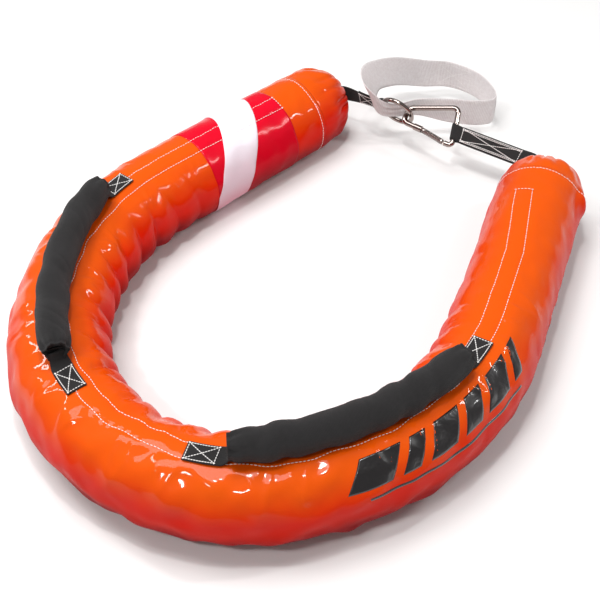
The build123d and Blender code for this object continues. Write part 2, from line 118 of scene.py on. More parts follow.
# %% [markdown]
# ## The camera
# A camera can be aimed with a constraint, or built from its own three axes. The axes are used
# here, because they hold the small roll of the view exactly. It stands high, to the right of the bow.

# %% Camera
LOOK_AT = Vector((-0.0109, -0.0450, 0.0))
LOOK_FROM = math.radians(34.9)          # round the object, from straight in front of the bow
LOOK_DOWN = math.radians(46.2)
LOOK_ROLL = math.radians(-1.34)
LOOK_DISTANCE = 1.5002
LENS = 67.7

back = Vector((math.sin(LOOK_FROM) * math.cos(LOOK_DOWN), -math.cos(LOOK_FROM) * math.cos(LOOK_DOWN),
               math.sin(LOOK_DOWN)))
level = Vector((math.cos(LOOK_FROM), math.sin(LOOK_FROM), 0))
upward = back.cross(level)
side_axis = level * math.cos(LOOK_ROLL) + upward * math.sin(LOOK_ROLL)
up_axis = upward * math.cos(LOOK_ROLL) - level * math.sin(LOOK_ROLL)
camera_data = bpy.data.cameras.new("studio_camera")
camera_data.lens = LENS
camera_data.sensor_width = 36.0
camera_data.clip_end = 30
camera = add_object("studio_camera", camera_data)
turned = Matrix((side_axis, up_axis, back)).transposed().to_4x4()
camera.matrix_world = Matrix.Translation(LOOK_AT + back * LOOK_DISTANCE) @ turned
bpy.context.scene.camera = camera
print("camera at", tuple(round(v, 3) for v in camera.matrix_world.translation))

# %% [markdown]
# ## Studio
# The object lies on a plain pale floor under large soft lights. Glossy coated fabric shows its
# folds only through what it mirrors, so one big soft light and a few smaller, brighter ones are
# set high up: the small ones draw the sharp white lines along the creases.

# %% Floor, world and lights
floor_paint, tree, _ = start_material("matt_painted_board")
end_material(tree, {"Base Color": linear("#F4F3F2"), "Roughness": 0.9, "Specular IOR Level": 0.1})
floor_mesh = bpy.data.meshes.new("floor")
floor_mesh.from_pydata([(-6, -6, 0), (6, -6, 0), (6, 6, 0), (-6, 6, 0)], [], [(0, 1, 2, 3)])
floor_mesh.materials.append(floor_paint)
floor = add_object("floor", floor_mesh)
floor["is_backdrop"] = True

world = bpy.data.worlds.new("pale_studio")
bpy.context.scene.world = world
world.use_nodes = True
world.node_tree.nodes["Background"].inputs[0].default_value = linear("#FFFFFF")
world.node_tree.nodes["Background"].inputs[1].default_value = 0.26
bpy.context.scene.view_settings.view_transform = "Standard"


def soft_light(name, place, aim, size, watts):
    data = bpy.data.lights.new(name, "AREA")
    data.shape = "RECTANGLE"
    data.size, data.size_y = size
    data.energy = watts
    lamp = add_object(name, data)
    lamp.location = place
    lamp.rotation_euler = (Vector(aim) - Vector(place)).to_track_quat("-Z", "Y").to_euler()


soft_light("wide_soft_box", (-0.5, -0.25, 2.3), (0, -0.05, 0), (1.3, 1.3), 34)
soft_light("left_strip", (-1.5, -0.3, 1.2), (0, 0.1, 0.05), (0.12, 0.8), 8)
soft_light("right_strip", (1.2, 0.8, 1.5), (0, 0, 0.05), (0.10, 0.7), 9)
soft_light("front_lamp", (0.0, -1.5, 1.9), (0, -0.1, 0), (0.35, 0.12), 11)
soft_light("overhead_lamp", (0.15, -0.35, 2.3), (0, -0.1, 0), (0.16, 0.16), 9)
print("lights in watts", {lamp.name: round(lamp.energy) for lamp in bpy.data.lights})

# %% [markdown]
# ## The tube's centre line
# The float is a tube bent along arcs and straight arms. Every fabric piece, stitch and patch lies
# on it, so one function gives its centre line, and a second gives any point on the cover from the
# distance along the tube and the angle round it. The sizes are those of the CAD model, and the
# bow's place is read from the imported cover.

# %% Centre line
TUBE_R = 0.059
BOW_R, BOW_TURN = 0.245, math.radians(96)
SHOULDER_R, SHOULDER_TURN = 0.325, math.radians(56)
ARM_L = 0.255
CAP_L = 0.072
SEAM_AT = BOW_R * BOW_TURN / 2 + SHOULDER_R * SHOULDER_TURN + ARM_L
HALF_L = SEAM_AT + CAP_L
BOW_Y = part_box("cover")[0].y + TUBE_R
UP = np.array((0.0, 0.0, 1.0))


def centre_line(d):
    """Points on the centre line and headings, d metres from the bow's middle, right arm positive."""
    d = np.asarray(d, float)
    s, side = np.abs(d), np.where(d < 0, -1.0, 1.0)
    a = np.minimum(s / BOW_R, BOW_TURN / 2)
    s = s - BOW_R * a
    b = np.minimum(s / SHOULDER_R, SHOULDER_TURN)
    s = s - SHOULDER_R * b
    turn = a + b
    x = BOW_R * np.sin(a) + SHOULDER_R * (np.sin(turn) - np.sin(a)) + s * np.cos(turn)
    y = BOW_R * (1 - np.cos(a)) + SHOULDER_R * (np.cos(a) - np.cos(turn)) + s * np.sin(turn)
    points = np.stack((side * x, y + BOW_Y, np.full_like(x, TUBE_R)), -1)
    return points, side * turn


def inward(d):
    heading = centre_line(d)[1]
    return np.stack((-np.sin(heading), np.cos(heading), np.zeros_like(heading)), -1)


def along(d):
    heading = centre_line(d)[1]
    return np.stack((np.cos(heading), np.sin(heading), np.zeros_like(heading)), -1)


print("tube length", round(2 * SEAM_AT, 3), "bow at y", round(BOW_Y, 4))

# %% [markdown]
# ## Folds in the cover
# A straight sewn tube that is bent has too much fabric on its inner side, so it buckles there into
# sharp valleys with round bulges between them. A cloth simulation can find such folds. Here they
# are drawn as a height field over the unrolled tube instead: every fold is one crease with a sharp
# crest that fades at its ends, and some two hundred from a fixed seed are added up. That keeps
# stitches, patches and prints exactly on the fabric, because they read the same field.

# %% Fold field
STEPS_ALONG, STEPS_AROUND = 640, 150
COVER_RIGHT = SEAM_AT + 0.018       # the right end's hem sits a little further out
axis_along = np.linspace(-SEAM_AT, COVER_RIGHT, STEPS_ALONG)
axis_around = np.linspace(-math.pi, math.pi, STEPS_AROUND, endpoint=False)
along_mm = axis_along[:, None] * 1000 + 0 * axis_around[None, :]
around_deg = np.degrees(axis_around)[None, :] + 0 * axis_along[:, None]
ROUND_MM = 2 * math.pi * TUBE_R * 1000
folds = np.zeros((STEPS_ALONG, STEPS_AROUND))
chance = np.random.default_rng(21)


def wrapped(degrees):
    return (degrees + 180) % 360 - 180


def crease(at, around, slant, length, width, height, bend=0.0, blunt=1.6):
    """Adds one fold, in mm: slant is its angle from the tube's axis, height its crest."""
    reach = length / 2 + 4 * width + abs(bend) * length
    rows = slice(*np.searchsorted(axis_along * 1000, (at - reach, at + reach)))
    du = along_mm[rows] - at
    dv = wrapped(around_deg[rows] - around) * ROUND_MM / 360
    c, s = math.cos(math.radians(slant)), math.sin(math.radians(slant))
    run = (du * c + dv * s) / (length / 2)
    off = -du * s + dv * c + bend * length * (run ** 2 - 0.3)
    fade = np.clip(1 - run ** 2, 0, 1) ** 1.3
    folds[rows] += height * fade * np.exp(-(np.sqrt(off ** 2 + blunt ** 2) - blunt) / width)


def between(low, high):
    return float(chance.uniform(low, high))


def vee(at, start, reach, spread, height):
    """Two sharp creases that leave a stitch row spread mm apart and meet reach mm round the tube."""
    for half in (-spread / 2, spread / 2):
        length = math.hypot(half, reach)
        slant = math.degrees(math.atan2(reach, -half))
        crease(at + half / 2, start + reach * 180 / ROUND_MM, slant, length * 1.25, 3.2, height,
               between(-0.10, 0.10), 0.5)

# %% [markdown]
# ### Buckles, creases and long folds
# The numbers are millimetres and degrees on the unrolled tube: the place along it, the angle round
# it, the slant, then length, width and height. The draws come in a fixed order, so the same folds
# come out each time.

# %% Draw the folds
# buckles on the inner side: sharp valleys, with a round bulge between each two
place, pinches = -540.0, []
while place < 540:
    deep = 0.45 + 0.55 * math.cos(math.pi * place / 1080) ** 0.7
    crease(place, between(92, 104), 90 + between(-13, 13), between(125, 170), between(6, 8.5),
           -between(7.5, 10.5) * deep, between(-0.12, 0.12), 1.0)
    step = between(36, 52)
    crease(place + step / 2, between(90, 108), 90 + between(-8, 8), between(120, 150), between(13, 17),
           between(5.5, 8.0) * deep, between(-0.08, 0.08), 6.0)
    pinches.append(place)
    place += step
# every second buckle sends a V towards the channel, where the stitches pull
for k, mm in enumerate(pinches):
    if k % 2 == 0:
        vee(mm + between(-6, 6), 24, between(36, 54), between(22, 34), between(1.2, 2.1))
    vee(mm + between(8, 22), -10, -between(34, 62), between(20, 36), between(1.0, 2.2) * (k % 3 > 0))
# a few long shallow folds over the outer side of the bow
for _ in range(20):
    crease(between(-520, 520), between(-140, -60), 90 + between(-50, 50), between(60, 120), between(7, 12),
           -between(0.8, 2.4), between(-0.16, 0.16), 2.0)
# the puckered stretches beside the tabs
for mm in (-150, -134, -92, -62, 60, 92, 130, 152, -470, -492, -520, 486, 505, 534):
    crease(mm + between(-5, 5), between(-26, -10), 90 + between(-20, 20), between(20, 34), 2.8,
           between(1.0, 2.0), 0, 0.6)
    crease(mm + between(-8, 8), between(34, 50), 90 + between(-25, 25), between(22, 40), 3.0,
           between(0.9, 1.8), 0, 0.6)
# arms: long soft folds that run lengthwise
for _ in range(30):
    crease(chance.choice((-1, 1)) * between(560, 760), between(-180, 180), between(-14, 14),
           between(110, 230), between(9, 16), chance.choice((-1, 1)) * between(0.5, 1.7), between(-0.06, 0.06), 2.0)
for _ in range(26):
    crease(chance.choice((-1, 1)) * between(560, 772), between(-150, 150), between(-70, 70),
           between(24, 60), between(3, 6), chance.choice((-1, 1)) * between(0.3, 0.9), between(-0.2, 0.2))
# a fold of spare fabric that stands out at the right end's hem
crease(788, -74, 62, 46, 5.0, 7.0, 0.1, 2.0)
crease(770, -60, 20, 60, 6.0, -2.5, 0.1, 2.0)
print(len(pinches), "buckles on the inner side")

# %% [markdown]
# ### Small crumple
# Between the big folds the coating is never flat. A filtered random field adds gentle dents of a
# few centimetres. It is made in frequency space, so it joins up round the tube without a seam.

# %% Crumple, channel and seats for the other pieces
def crumple(longest, shortest, seed):
    """Smooth random field with features between two sizes in mm, spread about 1."""
    noise = np.random.default_rng(seed).standard_normal((STEPS_ALONG, STEPS_AROUND))
    step_along = (axis_along[1] - axis_along[0]) * 1000
    f_along = np.fft.fftfreq(STEPS_ALONG, step_along)[:, None]
    f_around = np.fft.fftfreq(STEPS_AROUND, ROUND_MM / STEPS_AROUND)[None, :]
    f = np.hypot(f_along, f_around)
    keep = np.exp(-(f * shortest) ** 2) * (1 - np.exp(-(f * longest) ** 2))
    field = np.real(np.fft.ifft2(np.fft.fft2(noise) * keep))
    return field / field.std()


bow_share = 1 / (1 + np.exp((np.abs(along_mm) - 470) / 40))          # 1 in the bow, 0 in the arms
folds += crumple(90, 34, 3) * (0.45 + 0.45 * bow_share)
folds += 2.4 * bow_share * np.exp(-(wrapped(around_deg - 100) / 48) ** 2)

# the sewn channel's middle: places along the tube, and degrees from the top, positive inwards
CHANNEL_MM = (-723, -560, -448, -176, 0, 160, 460, 625, 744)
CHANNEL_DEG = (15.5, 12.5, 12, 10, 6, 1, 3, 3, 16.5)
ROW_APART_DEG = 22.0 / ROUND_MM * 360


def channel_middle(mm):
    """Angle of the webbing channel's middle, mm from the bow's middle."""
    sway = 1.3 * np.sin(np.asarray(mm) / 17.0) + 0.9 * np.sin(np.asarray(mm) / 7.3 + 1)
    calm = 1 / (1 + np.exp((np.abs(mm) - 420) / 25))
    return np.interp(mm, CHANNEL_MM, CHANNEL_DEG) + sway * calm


in_channel = 1 / (1 + np.exp(-(along_mm + 723) / 3)) / (1 + np.exp((along_mm - 744) / 3))
from_middle = np.abs(wrapped(around_deg - channel_middle(along_mm)))
to_row = (from_middle - ROW_APART_DEG / 2) * ROUND_MM / 360
flat_share = in_channel * np.exp(-(from_middle / ROW_APART_DEG * 1.9) ** 6)
folds = folds * (1 - 0.55 * flat_share) + 0.7 * flat_share
pucker = 0.6 + 0.4 * np.cos(along_mm / 2.1 + 2 * np.sin(along_mm / 17))
folds -= in_channel * 1.2 * pucker * np.exp(-(to_row / 2.4) ** 2)
for hem in (-SEAM_AT * 1000 + 5, COVER_RIGHT * 1000 - 4):
    folds -= 0.9 * (0.6 + 0.4 * np.cos(np.radians(around_deg) * 38)) * np.exp(-((along_mm - hem) / 2.6) ** 2)

# the folds stay between the foam below and a limit above
folds = np.where(folds < 0, -4.1 * np.tanh(-folds / 4.1), 9.0 * np.tanh(folds / 9.0))

# the grips and their tabs press the cover flat
GRIP_MID, GRIP_L, GRIP_FLATTER = HALF_L - 0.578, 0.288, 0.008
for sign in (-1, 1):
    under = np.exp(-((along_mm - sign * GRIP_MID * 1000) / 205) ** 10) * np.exp(-(wrapped(around_deg - 6) / 25) ** 4)
    folds = folds * (1 - 0.9 * under) - 0.7 * under
folds = folds / 1000
print("folds from", round(folds.min() * 1000, 1), "to", round(folds.max() * 1000, 1), "mm")


def fold_height(d, around):
    """The field at any distance and angle, by bilinear look-up."""
    d, around = np.broadcast_arrays(np.asarray(d, float), np.asarray(around, float))
    i = np.clip((d - axis_along[0]) / (axis_along[1] - axis_along[0]), 0, STEPS_ALONG - 1.001)
    j = ((around + math.pi) / (2 * math.pi) * STEPS_AROUND) % STEPS_AROUND
    i0, j0 = i.astype(int), j.astype(int) % STEPS_AROUND
    fi, fj, j1 = i - i0, j - np.floor(j), (j0 + 1) % STEPS_AROUND
    top = folds[i0, j0] * (1 - fj) + folds[i0, j1] * fj
    low = folds[i0 + 1, j0] * (1 - fj) + folds[i0 + 1, j1] * fj
    return top * (1 - fi) + low * fi


def on_cover(d, around, lift=0.0):
    """Points on the folded cover: around is the angle from the top, positive inwards."""
    d, around = np.broadcast_arrays(np.asarray(d, float), np.asarray(around, float))
    points, _ = centre_line(d)
    r = (TUBE_R + fold_height(d, around) + lift)[..., None]
    points = points + inward(d) * r * np.sin(around)[..., None] + UP * r * np.cos(around)[..., None]
    points[..., 2] = np.maximum(points[..., 2], 0.0004)      # it rests on the floor
    return points

# %% [markdown]
# ## Turning rows of points into a mesh
# A bent tube, a strap and a patch are all grids of points. Blender can make them with curves and
# modifiers, but a grid gives full control of where each vertex lies. One function makes the faces,
# closes the ends, writes a UV map in metres for the weave, and turns the faces outwards.

# %% Grid to mesh
def skin(name, points, material, u=None, v=None, ring_along=False, close_ends=True):
    """Mesh from a grid (rows, ring, 3) whose rings are closed. u and v are metres for the UV map."""
    n, m = points.shape[:2]
    u = np.arange(n + 1) * 1.0 if u is None else np.asarray(u)
    v = np.arange(m + 1) * 1.0 if v is None else np.asarray(v)
    i, j = (k.ravel() for k in np.meshgrid(np.arange(n if ring_along else n - 1), np.arange(m), indexing="ij"))
    i2, j2 = (i + 1) % n, (j + 1) % m
    quads = np.stack((i * m + j, i2 * m + j, i2 * m + j2, i * m + j2), -1)
    uvs = np.stack((u[i], v[j], u[i + 1], v[j], u[i + 1], v[j + 1], u[i], v[j + 1]), -1).reshape(-1, 4, 2)
    verts = points.reshape(-1, 3)
    p = verts[quads]
    volume = sum(np.einsum("ij,ij->i", p[:, 0], np.cross(p[:, a], p[:, a + 1])).sum() for a in (1, 2))
    faces, face_uvs = quads.tolist(), uvs.tolist()
    if close_ends and not ring_along:
        ends = [list(range(m)), list(range((n - 1) * m, n * m))[::-1]]
        faces += ends
        face_uvs += [[[u[0], v[k]] for k in range(m)], [[u[n - 1], v[k]] for k in reversed(range(m))]]
    if volume < 0:
        faces = [f[::-1] for f in faces]
        face_uvs = [f[::-1] for f in face_uvs]
    mesh = bpy.data.meshes.new(name)
    mesh.from_pydata(verts.tolist(), [], faces)
    layer = mesh.uv_layers.new(name="cloth")
    layer.data.foreach_set("uv", np.concatenate([np.asarray(f, float).ravel() for f in face_uvs]))
    mesh.polygons.foreach_set("use_smooth", [True] * len(mesh.polygons))
    mesh.materials.append(material)
    return add_object(name, mesh)


def lengths(points):
    """Running length along a row of points, starting at 0."""
    return np.concatenate(([0], np.cumsum(np.linalg.norm(np.diff(points, axis=0), axis=1))))


def webbing(name, centres, across, widths, thick, material, ring_along=False, bulge=None, cells=12):
    """A strap with soft edges: centre points, unit width directions and widths."""
    n = len(centres)
    if ring_along:
        tangent = np.roll(centres, -1, 0) - np.roll(centres, 1, 0)
    else:
        tangent = np.gradient(centres, axis=0)
    normal = np.cross(tangent, across)
    normal /= np.linalg.norm(normal, axis=1)[:, None]
    share = np.linspace(-1, 1, cells + 1)
    edge = 1 - 0.6 * np.abs(share) ** 8
    widths = np.broadcast_to(np.asarray(widths, float), (n,))
    middle = centres[:, None] + across[:, None] * (widths[:, None, None] / 2) * share[None, :, None]
    if bulge is not None:
        middle = middle + normal[:, None] * bulge[:, :, None]
    half = normal[:, None] * (thick / 2 * edge)[None, :, None]
    rings = np.concatenate((middle + half, (middle - half)[:, ::-1]), 1)
    run = lengths(np.concatenate((centres, centres[:1]))) if ring_along else lengths(centres)
    u = np.append(run, run[-1]) if not ring_along else run
    flat = share * float(widths.max()) / 2
    v = np.concatenate((flat, flat[::-1], flat[:1]))
    return skin(name, rings, material, u, v, ring_along)

# %% [markdown]
# ## Coated fabric
# The float is polyester cloth coated with glossy PVC. The eye reads it from a strong orange, a wet
# clear gloss, and a redder, darker colour where the fabric turns under. That low colour is painted
# shade: the base colour darkens towards the floor, and the coat weakens there. A Principled shader
# with a coat gives the gloss. Two bumps are added: crinkles of about 30 mm, and the faint grid of
# the base cloth, drawn at 1.6 mm so that it can show at all.

# %% Coated fabric materials
BASE_CLOTH = 0.0016


def coated_fabric(name, under, side, top, gloss=0.06, crinkle=0.00035, coat=0.6):
    material, tree, where = start_material(name)
    place = put(tree, "ShaderNodeSeparateXYZ", {0: where})
    blotch = put(tree, "ShaderNodeTexNoise", {"Vector": where, "Scale": 14.0, "Detail": 3.0}).outputs[0]
    uneven = put(tree, "ShaderNodeMath", {0: blotch, 1: 0.26, 2: -0.13}, operation="MULTIPLY_ADD")
    # painted shade: through this ramp the base colour darkens and reddens towards the floor; 8.4 a metre takes it from
    # 0 at the floor to 1 at the top of the tube
    height = put(tree, "ShaderNodeMath", {0: place.outputs["Z"], 1: 8.4, 2: uneven.outputs[0]},
                 operation="MULTIPLY_ADD")
    painted_shade_ramp = put(tree, "ShaderNodeValToRGB", {0: height.outputs[0]})
    painted_shade_ramp.color_ramp.interpolation = "EASE"
    painted_shade_ramp.color_ramp.elements[0].position, painted_shade_ramp.color_ramp.elements[0].color = 0.24, linear(under)
    painted_shade_ramp.color_ramp.elements[1].position, painted_shade_ramp.color_ramp.elements[1].color = 0.97, linear(top)
    painted_shade_ramp.color_ramp.elements.new(0.58).color = linear(side)
    wrinkle = put(tree, "ShaderNodeTexNoise", {"Vector": where, "Scale": 30.0, "Detail": 1.0, "Distortion": 1.5})
    first = put(tree, "ShaderNodeBump", {"Strength": 1.0, "Distance": crinkle, "Height": wrinkle.outputs[0]})
    threads = []
    for axis in "XY":
        turns = put(tree, "ShaderNodeMath", {0: place.outputs[axis], 1: 2 * math.pi / BASE_CLOTH},
                    operation="MULTIPLY")
        threads.append(put(tree, "ShaderNodeMath", {0: turns.outputs[0]}, operation="SINE").outputs[0])
    grid = put(tree, "ShaderNodeMath", {0: threads[0], 1: threads[1]}, operation="MULTIPLY")
    second = put(tree, "ShaderNodeBump", {"Strength": 1.0, "Distance": 0.00003, "Height": grid.outputs[0],
                                          "Normal": first.outputs[0]})
    # painted shade: the coat weakens towards the floor, so the low side mirrors less of the pale floor and reads darker
    low_side_shade_coat = put(tree, "ShaderNodeMapRange", {"Value": place.outputs["Z"], "From Min": 0.056, "From Max": 0.100,
                                             "To Min": coat * 0.08, "To Max": coat}).outputs[0]
    end_material(tree, {"Base Color": painted_shade_ramp.outputs[0], "Roughness": 0.5, "Specular IOR Level": 0.05,
                        "Coat Weight": low_side_shade_coat, "Coat Roughness": gloss, "Coat IOR": 1.42,
                        "Normal": second.outputs[0], "Coat Normal": first.outputs[0]})
    return material


# painted shade: the first colour is the darkened low side and the second the darker flanks, both set by height; the
# third is the top
orange_cloth = coated_fabric("pvc_coated_polyester_orange", "#8A0006", "#D41A00", "#E45400")
red_cloth = coated_fabric("pvc_coated_polyester_red", "#8C0010", "#C6001C", "#DC0024", 0.16, 0.00025, 0.5)
# painted shade and painted red bounce light: the white's low and side colours are pink and darker
white_cloth = coated_fabric("pvc_coated_polyester_white", "#D09CA8", "#DCC6D0", "#EFEAF2", 0.25, 0.00025, 0.3)

# %% [markdown]
# ## The cover
# The cover is the largest piece: one orange tube from hem to hem. It is made as a grid along and
# round the tube, lifted by the fold field, with its raw edges turned in at both hems. It is a
# stuffed piece.

# %% Cover
angles = axis_around
rings = [on_cover(np.full(STEPS_AROUND, d), angles) for d in axis_along]
for end, step in ((-SEAM_AT, 1), (COVER_RIGHT, -1)):
    turned_in = [on_cover(np.full(STEPS_AROUND, end + step * back_by), angles, -drop)
                 for back_by, drop in ((0.0003, 0.0012), (0.012, 0.0016))]
    rings = turned_in[::-1] + rings if step == 1 else rings + turned_in
rings = np.stack(rings)
cover = skin("cover_fabric", rings, orange_cloth)
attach(cover, "float")
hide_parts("cover")
print("cover faces", len(cover.data.polygons))

# %% [markdown]
# ## The gathered ends
# Each end is the same fabric drawn together round the webbing that comes out of it. Near the hem
# it is smooth, and towards the blunt face it falls into pleats that meet at the middle. The pleats
# are waves in the angle, sharpened into valleys, and they grow towards the face.

# %% Gathered ends
def cap_radius(out):
    """Radius of an end, out metres beyond the seam."""
    return TUBE_R * (1 - (out / 0.0775) ** 3.0) ** 0.42


PLEATS = 15


def pleat(around, seed):
    """Rounded pleats with sharp valleys between them, from -1 to 0.4."""
    shift = np.random.default_rng(seed).uniform(0, 6.28, 4)
    wander = around + 0.09 * np.sin(3 * around + shift[0]) + 0.05 * np.sin(7 * around + shift[1])
    uneven = 0.75 + 0.25 * np.sin(2 * around + shift[2])
    return (0.4 - 1.4 * (1 - np.abs(np.sin(PLEATS / 2 * wander + shift[3]))) ** 2.2) * uneven


def cap_grid(sign, start):
    seed = 40 + sign
    outs = np.concatenate((np.linspace(start, 0.058, 34), np.linspace(0.0595, CAP_L, 14)))
    rings, edge = [], sign * (SEAM_AT + start)
    base = fold_height(np.full(STEPS_AROUND, edge), angles)
    heading = along(np.array([sign * SEAM_AT]))[0] * sign
    inner = inward(np.array([sign * SEAM_AT]))[0]
    seam = centre_line(np.array([sign * SEAM_AT]))[0][0]
    ripple = np.random.default_rng(seed + 5).uniform(0, 6.28, 6)

    def ring(out, radius):
        radius = np.asarray(radius)[:, None]
        spokes = inner * np.sin(angles)[:, None] + UP * np.cos(angles)[:, None]
        points = seam + heading * out + spokes * radius
        points[:, 2] = np.maximum(points[:, 2], 0.0004)
        return points

    rings.append(ring(start - 0.006, cap_radius(max(start - 0.006, 0)) + base - 0.0014))
    for out in outs:
        t = (out - start) / (CAP_L - start)
        depth = 0.0002 + 0.0042 * t ** 1.5
        dents = 0.0012 * np.sin(4 * angles + ripple[0] + out * 90) * np.sin(math.pi * t)
        dents += 0.0008 * np.sin(9 * angles + ripple[1] - out * 160) * np.sin(math.pi * t)
        hem = -0.0010 if out == outs[0] else -0.0006
        offset = base * (1 - t) ** 2 + depth * pleat(angles, seed) + dents + hem
        if sign < 0:
            # the lifted loop leans on the left end, and has worn a shallow dent 48 mm out from the seam
            beside = wrapped(np.degrees(angles) - 71) / 27
            offset = offset - 0.0062 * np.exp(-((out - 0.048) / 0.017) ** 2 - beside ** 2)
        rings.append(ring(out, cap_radius(out) + offset))
    face_r = cap_radius(CAP_L)
    for share in np.linspace(0.93, 0.12, 14):
        sink = 0.0035 * (1 - share) ** 1.2 - 0.0022 * (1 - share) * pleat(angles, seed)
        radius = face_r * share + 0.0042 * share * np.minimum(pleat(angles, seed), 0)
        rings.append(ring(CAP_L + 0.0012 - 0.5 * share * 0.0024, radius) - heading * sink[:, None])
    return np.stack(rings)


for sign, name, start in ((-1, "left_end_cap", 0.0), (1, "right_end_cap", COVER_RIGHT - SEAM_AT)):
    end_piece = skin(name.replace("_cap", "_gathered"), cap_grid(sign, start), orange_cloth)
    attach(end_piece, "float")
    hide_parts(name)

# %% [markdown]
# ## The red panel and its white band
# Two thin patches are sewn on the left arm. A patch must follow every fold below it, so its grid is
# laid on the cover with a small lift. Its edges run down into the fabric, which closes it. The
# band leans: its edges move along the arm as they go round the tube.

# %% Panel and band
PANEL = (-0.7239, -0.5759)
PANEL_TURN = (math.radians(-105), math.radians(155))
BAND_MIDDLE, BAND_HALF, BAND_SWING = -0.6329, 0.030, 0.034


def patch(name, d_grid, around_grid, lift, material):
    """Closed thin patch on the cover, from matching grids of distances and angles."""
    top = on_cover(d_grid, around_grid, lift)
    low = on_cover(d_grid, around_grid, -0.0002)
    return skin(name, np.concatenate((top, low[:, ::-1]), 1), material)


turns = np.linspace(*PANEL_TURN, 110)
panel_d, panel_turns = np.meshgrid(np.linspace(*PANEL, 60), turns)
red_patch = patch("red_patch", panel_d, panel_turns, 0.0006, red_cloth)
middles = BAND_MIDDLE + BAND_SWING * np.sin(turns - math.radians(45))
shares = np.linspace(-BAND_HALF, BAND_HALF, 26)
band_d = np.clip(middles[:, None] + shares[None, :], PANEL[0] + 0.0004, PANEL[1] - 0.0004)
white_patch = patch("white_patch", band_d, turns[:, None] + 0 * band_d, 0.0011, white_cloth)
for piece, node, finish in ((red_patch, "red_panel", "red_fabric"), (white_patch, "white_band", "white_fabric")):
    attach(piece, "float")
    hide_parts(node)
print("panel", round((PANEL[1] - PANEL[0]) * 1000), "mm wide, band", round(2 * BAND_HALF * 1000), "mm")

# %% [markdown]
# ## A printed mark
# The float carries a printed mark on the outer side of its right shoulder. A plain one of slanted
# bars over a thin line stands for it, with no lettering. Ink has almost no thickness, so each bar
# is a patch a fifth of a millimetre high. Screen ink on PVC is black and as glossy as its ground.

# %% Printed bars
ink, tree, where = start_material("screen_printed_ink")
wear = put(tree, "ShaderNodeTexNoise", {"Vector": where, "Scale": 300.0, "Detail": 4.0})
shade = put(tree, "ShaderNodeMix", {"Factor": wear.outputs[0]}, data_type="RGBA")
shade.inputs[6].default_value, shade.inputs[7].default_value = linear("#0B090A"), linear("#1B1516")
wrinkle = put(tree, "ShaderNodeTexNoise", {"Vector": where, "Scale": 55.0, "Detail": 2.0, "Distortion": 1.1})
bump = put(tree, "ShaderNodeBump", {"Strength": 1.0, "Distance": 0.0009, "Height": wrinkle.outputs[0]})
end_material(tree, {"Base Color": shade.outputs[2], "Roughness": 0.35, "Coat Weight": 0.8, "Coat Roughness": 0.08,
                    "Normal": bump.outputs[0], "Coat Normal": bump.outputs[0]})

PRINT_FROM, PRINT_TO = 0.244, 0.479                 # along the tube, from the bow's middle
PRINT_LEAN = 0.020                                  # from the top of a bar to its foot
BAR_WIDTHS = (0.046, 0.020, 0.034, 0.026, 0.038, 0.016)
gap = (PRINT_TO - PRINT_FROM - sum(BAR_WIDTHS)) / (len(BAR_WIDTHS) - 1)
bars, spot = [], PRINT_FROM
for k, wide in enumerate(BAR_WIDTHS):
    rows = np.linspace(math.radians(-24), math.radians(-58), 18)
    drift = PRINT_LEAN * (rows[0] - rows) / (rows[0] - rows[-1]) - PRINT_LEAN / 2
    cells = np.linspace(0, wide, max(6, int(wide / 0.0022)))
    grid_d = spot + cells[None, :] - drift[:, None]
    bars.append(patch(f"printed_bar_{k + 1}", grid_d, rows[:, None] + 0 * grid_d, 0.0002, ink))
    spot += wide + gap
line_rows = np.radians(np.linspace(-67, -70, 4))
line_d, line_turn = np.meshgrid(np.linspace(0.254, 0.458, 96), line_rows)
bars.append(patch("printed_line", line_d, line_turn, 0.0002, ink))
for piece in bars:
    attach(piece, "float")
print(len(bars), "printed pieces, gaps of", round(gap * 1000, 1), "mm")

# %% [markdown]
# ## Woven finishes
# Webbing and grip cloth are woven polyester. Weave is two sets of threads that pass over each
# other, so its height is the product of two sine waves. It is read from the UV map, which is in
# metres, so it follows each strap. Real webbing has about 1.2 mm threads, and they are drawn at
# 1.8 to 2.6 mm so that they show.

# %% Woven materials
def woven(name, light, dark, pitch, height, twill=False, rough=0.75, sheen=0.25):
    material, tree, where = start_material(name)
    uv = put(tree, "ShaderNodeSeparateXYZ", {0: put(tree, "ShaderNodeTexCoord").outputs["UV"]})
    u, v = uv.outputs["X"], uv.outputs["Y"]
    if twill:
        u = put(tree, "ShaderNodeMath", {0: v, 1: 1.4, 2: u}, operation="MULTIPLY_ADD").outputs[0]
    waves = []
    for run, apart in ((u, pitch), (v, pitch * 0.8)):
        turns = put(tree, "ShaderNodeMath", {0: run, 1: 2 * math.pi / apart}, operation="MULTIPLY")
        waves.append(put(tree, "ShaderNodeMath", {0: turns.outputs[0]}, operation="SINE").outputs[0])
    crossed = put(tree, "ShaderNodeMath", {0: waves[0], 1: waves[1]}, operation="MULTIPLY")
    weave = put(tree, "ShaderNodeMath", {0: crossed.outputs[0], 1: 0.5, 2: 0.5}, operation="MULTIPLY_ADD").outputs[0]
    fluff = put(tree, "ShaderNodeTexNoise", {"Vector": where, "Scale": 220.0, "Detail": 4.0}).outputs[0]
    share = put(tree, "ShaderNodeMath", {0: weave, 1: 0.6}, operation="MULTIPLY")
    mixed = put(tree, "ShaderNodeMath", {0: fluff, 1: 0.5, 2: share.outputs[0]}, operation="MULTIPLY_ADD")
    colour = put(tree, "ShaderNodeMix", {"Factor": mixed.outputs[0]}, data_type="RGBA")
    colour.inputs[6].default_value, colour.inputs[7].default_value = linear(dark), linear(light)
    bump = put(tree, "ShaderNodeBump", {"Strength": 1.0, "Distance": height, "Height": weave})
    end_material(tree, {"Base Color": colour.outputs[2], "Roughness": rough, "Sheen Weight": sheen,
                        "Sheen Roughness": 0.4, "Normal": bump.outputs[0]})
    return material


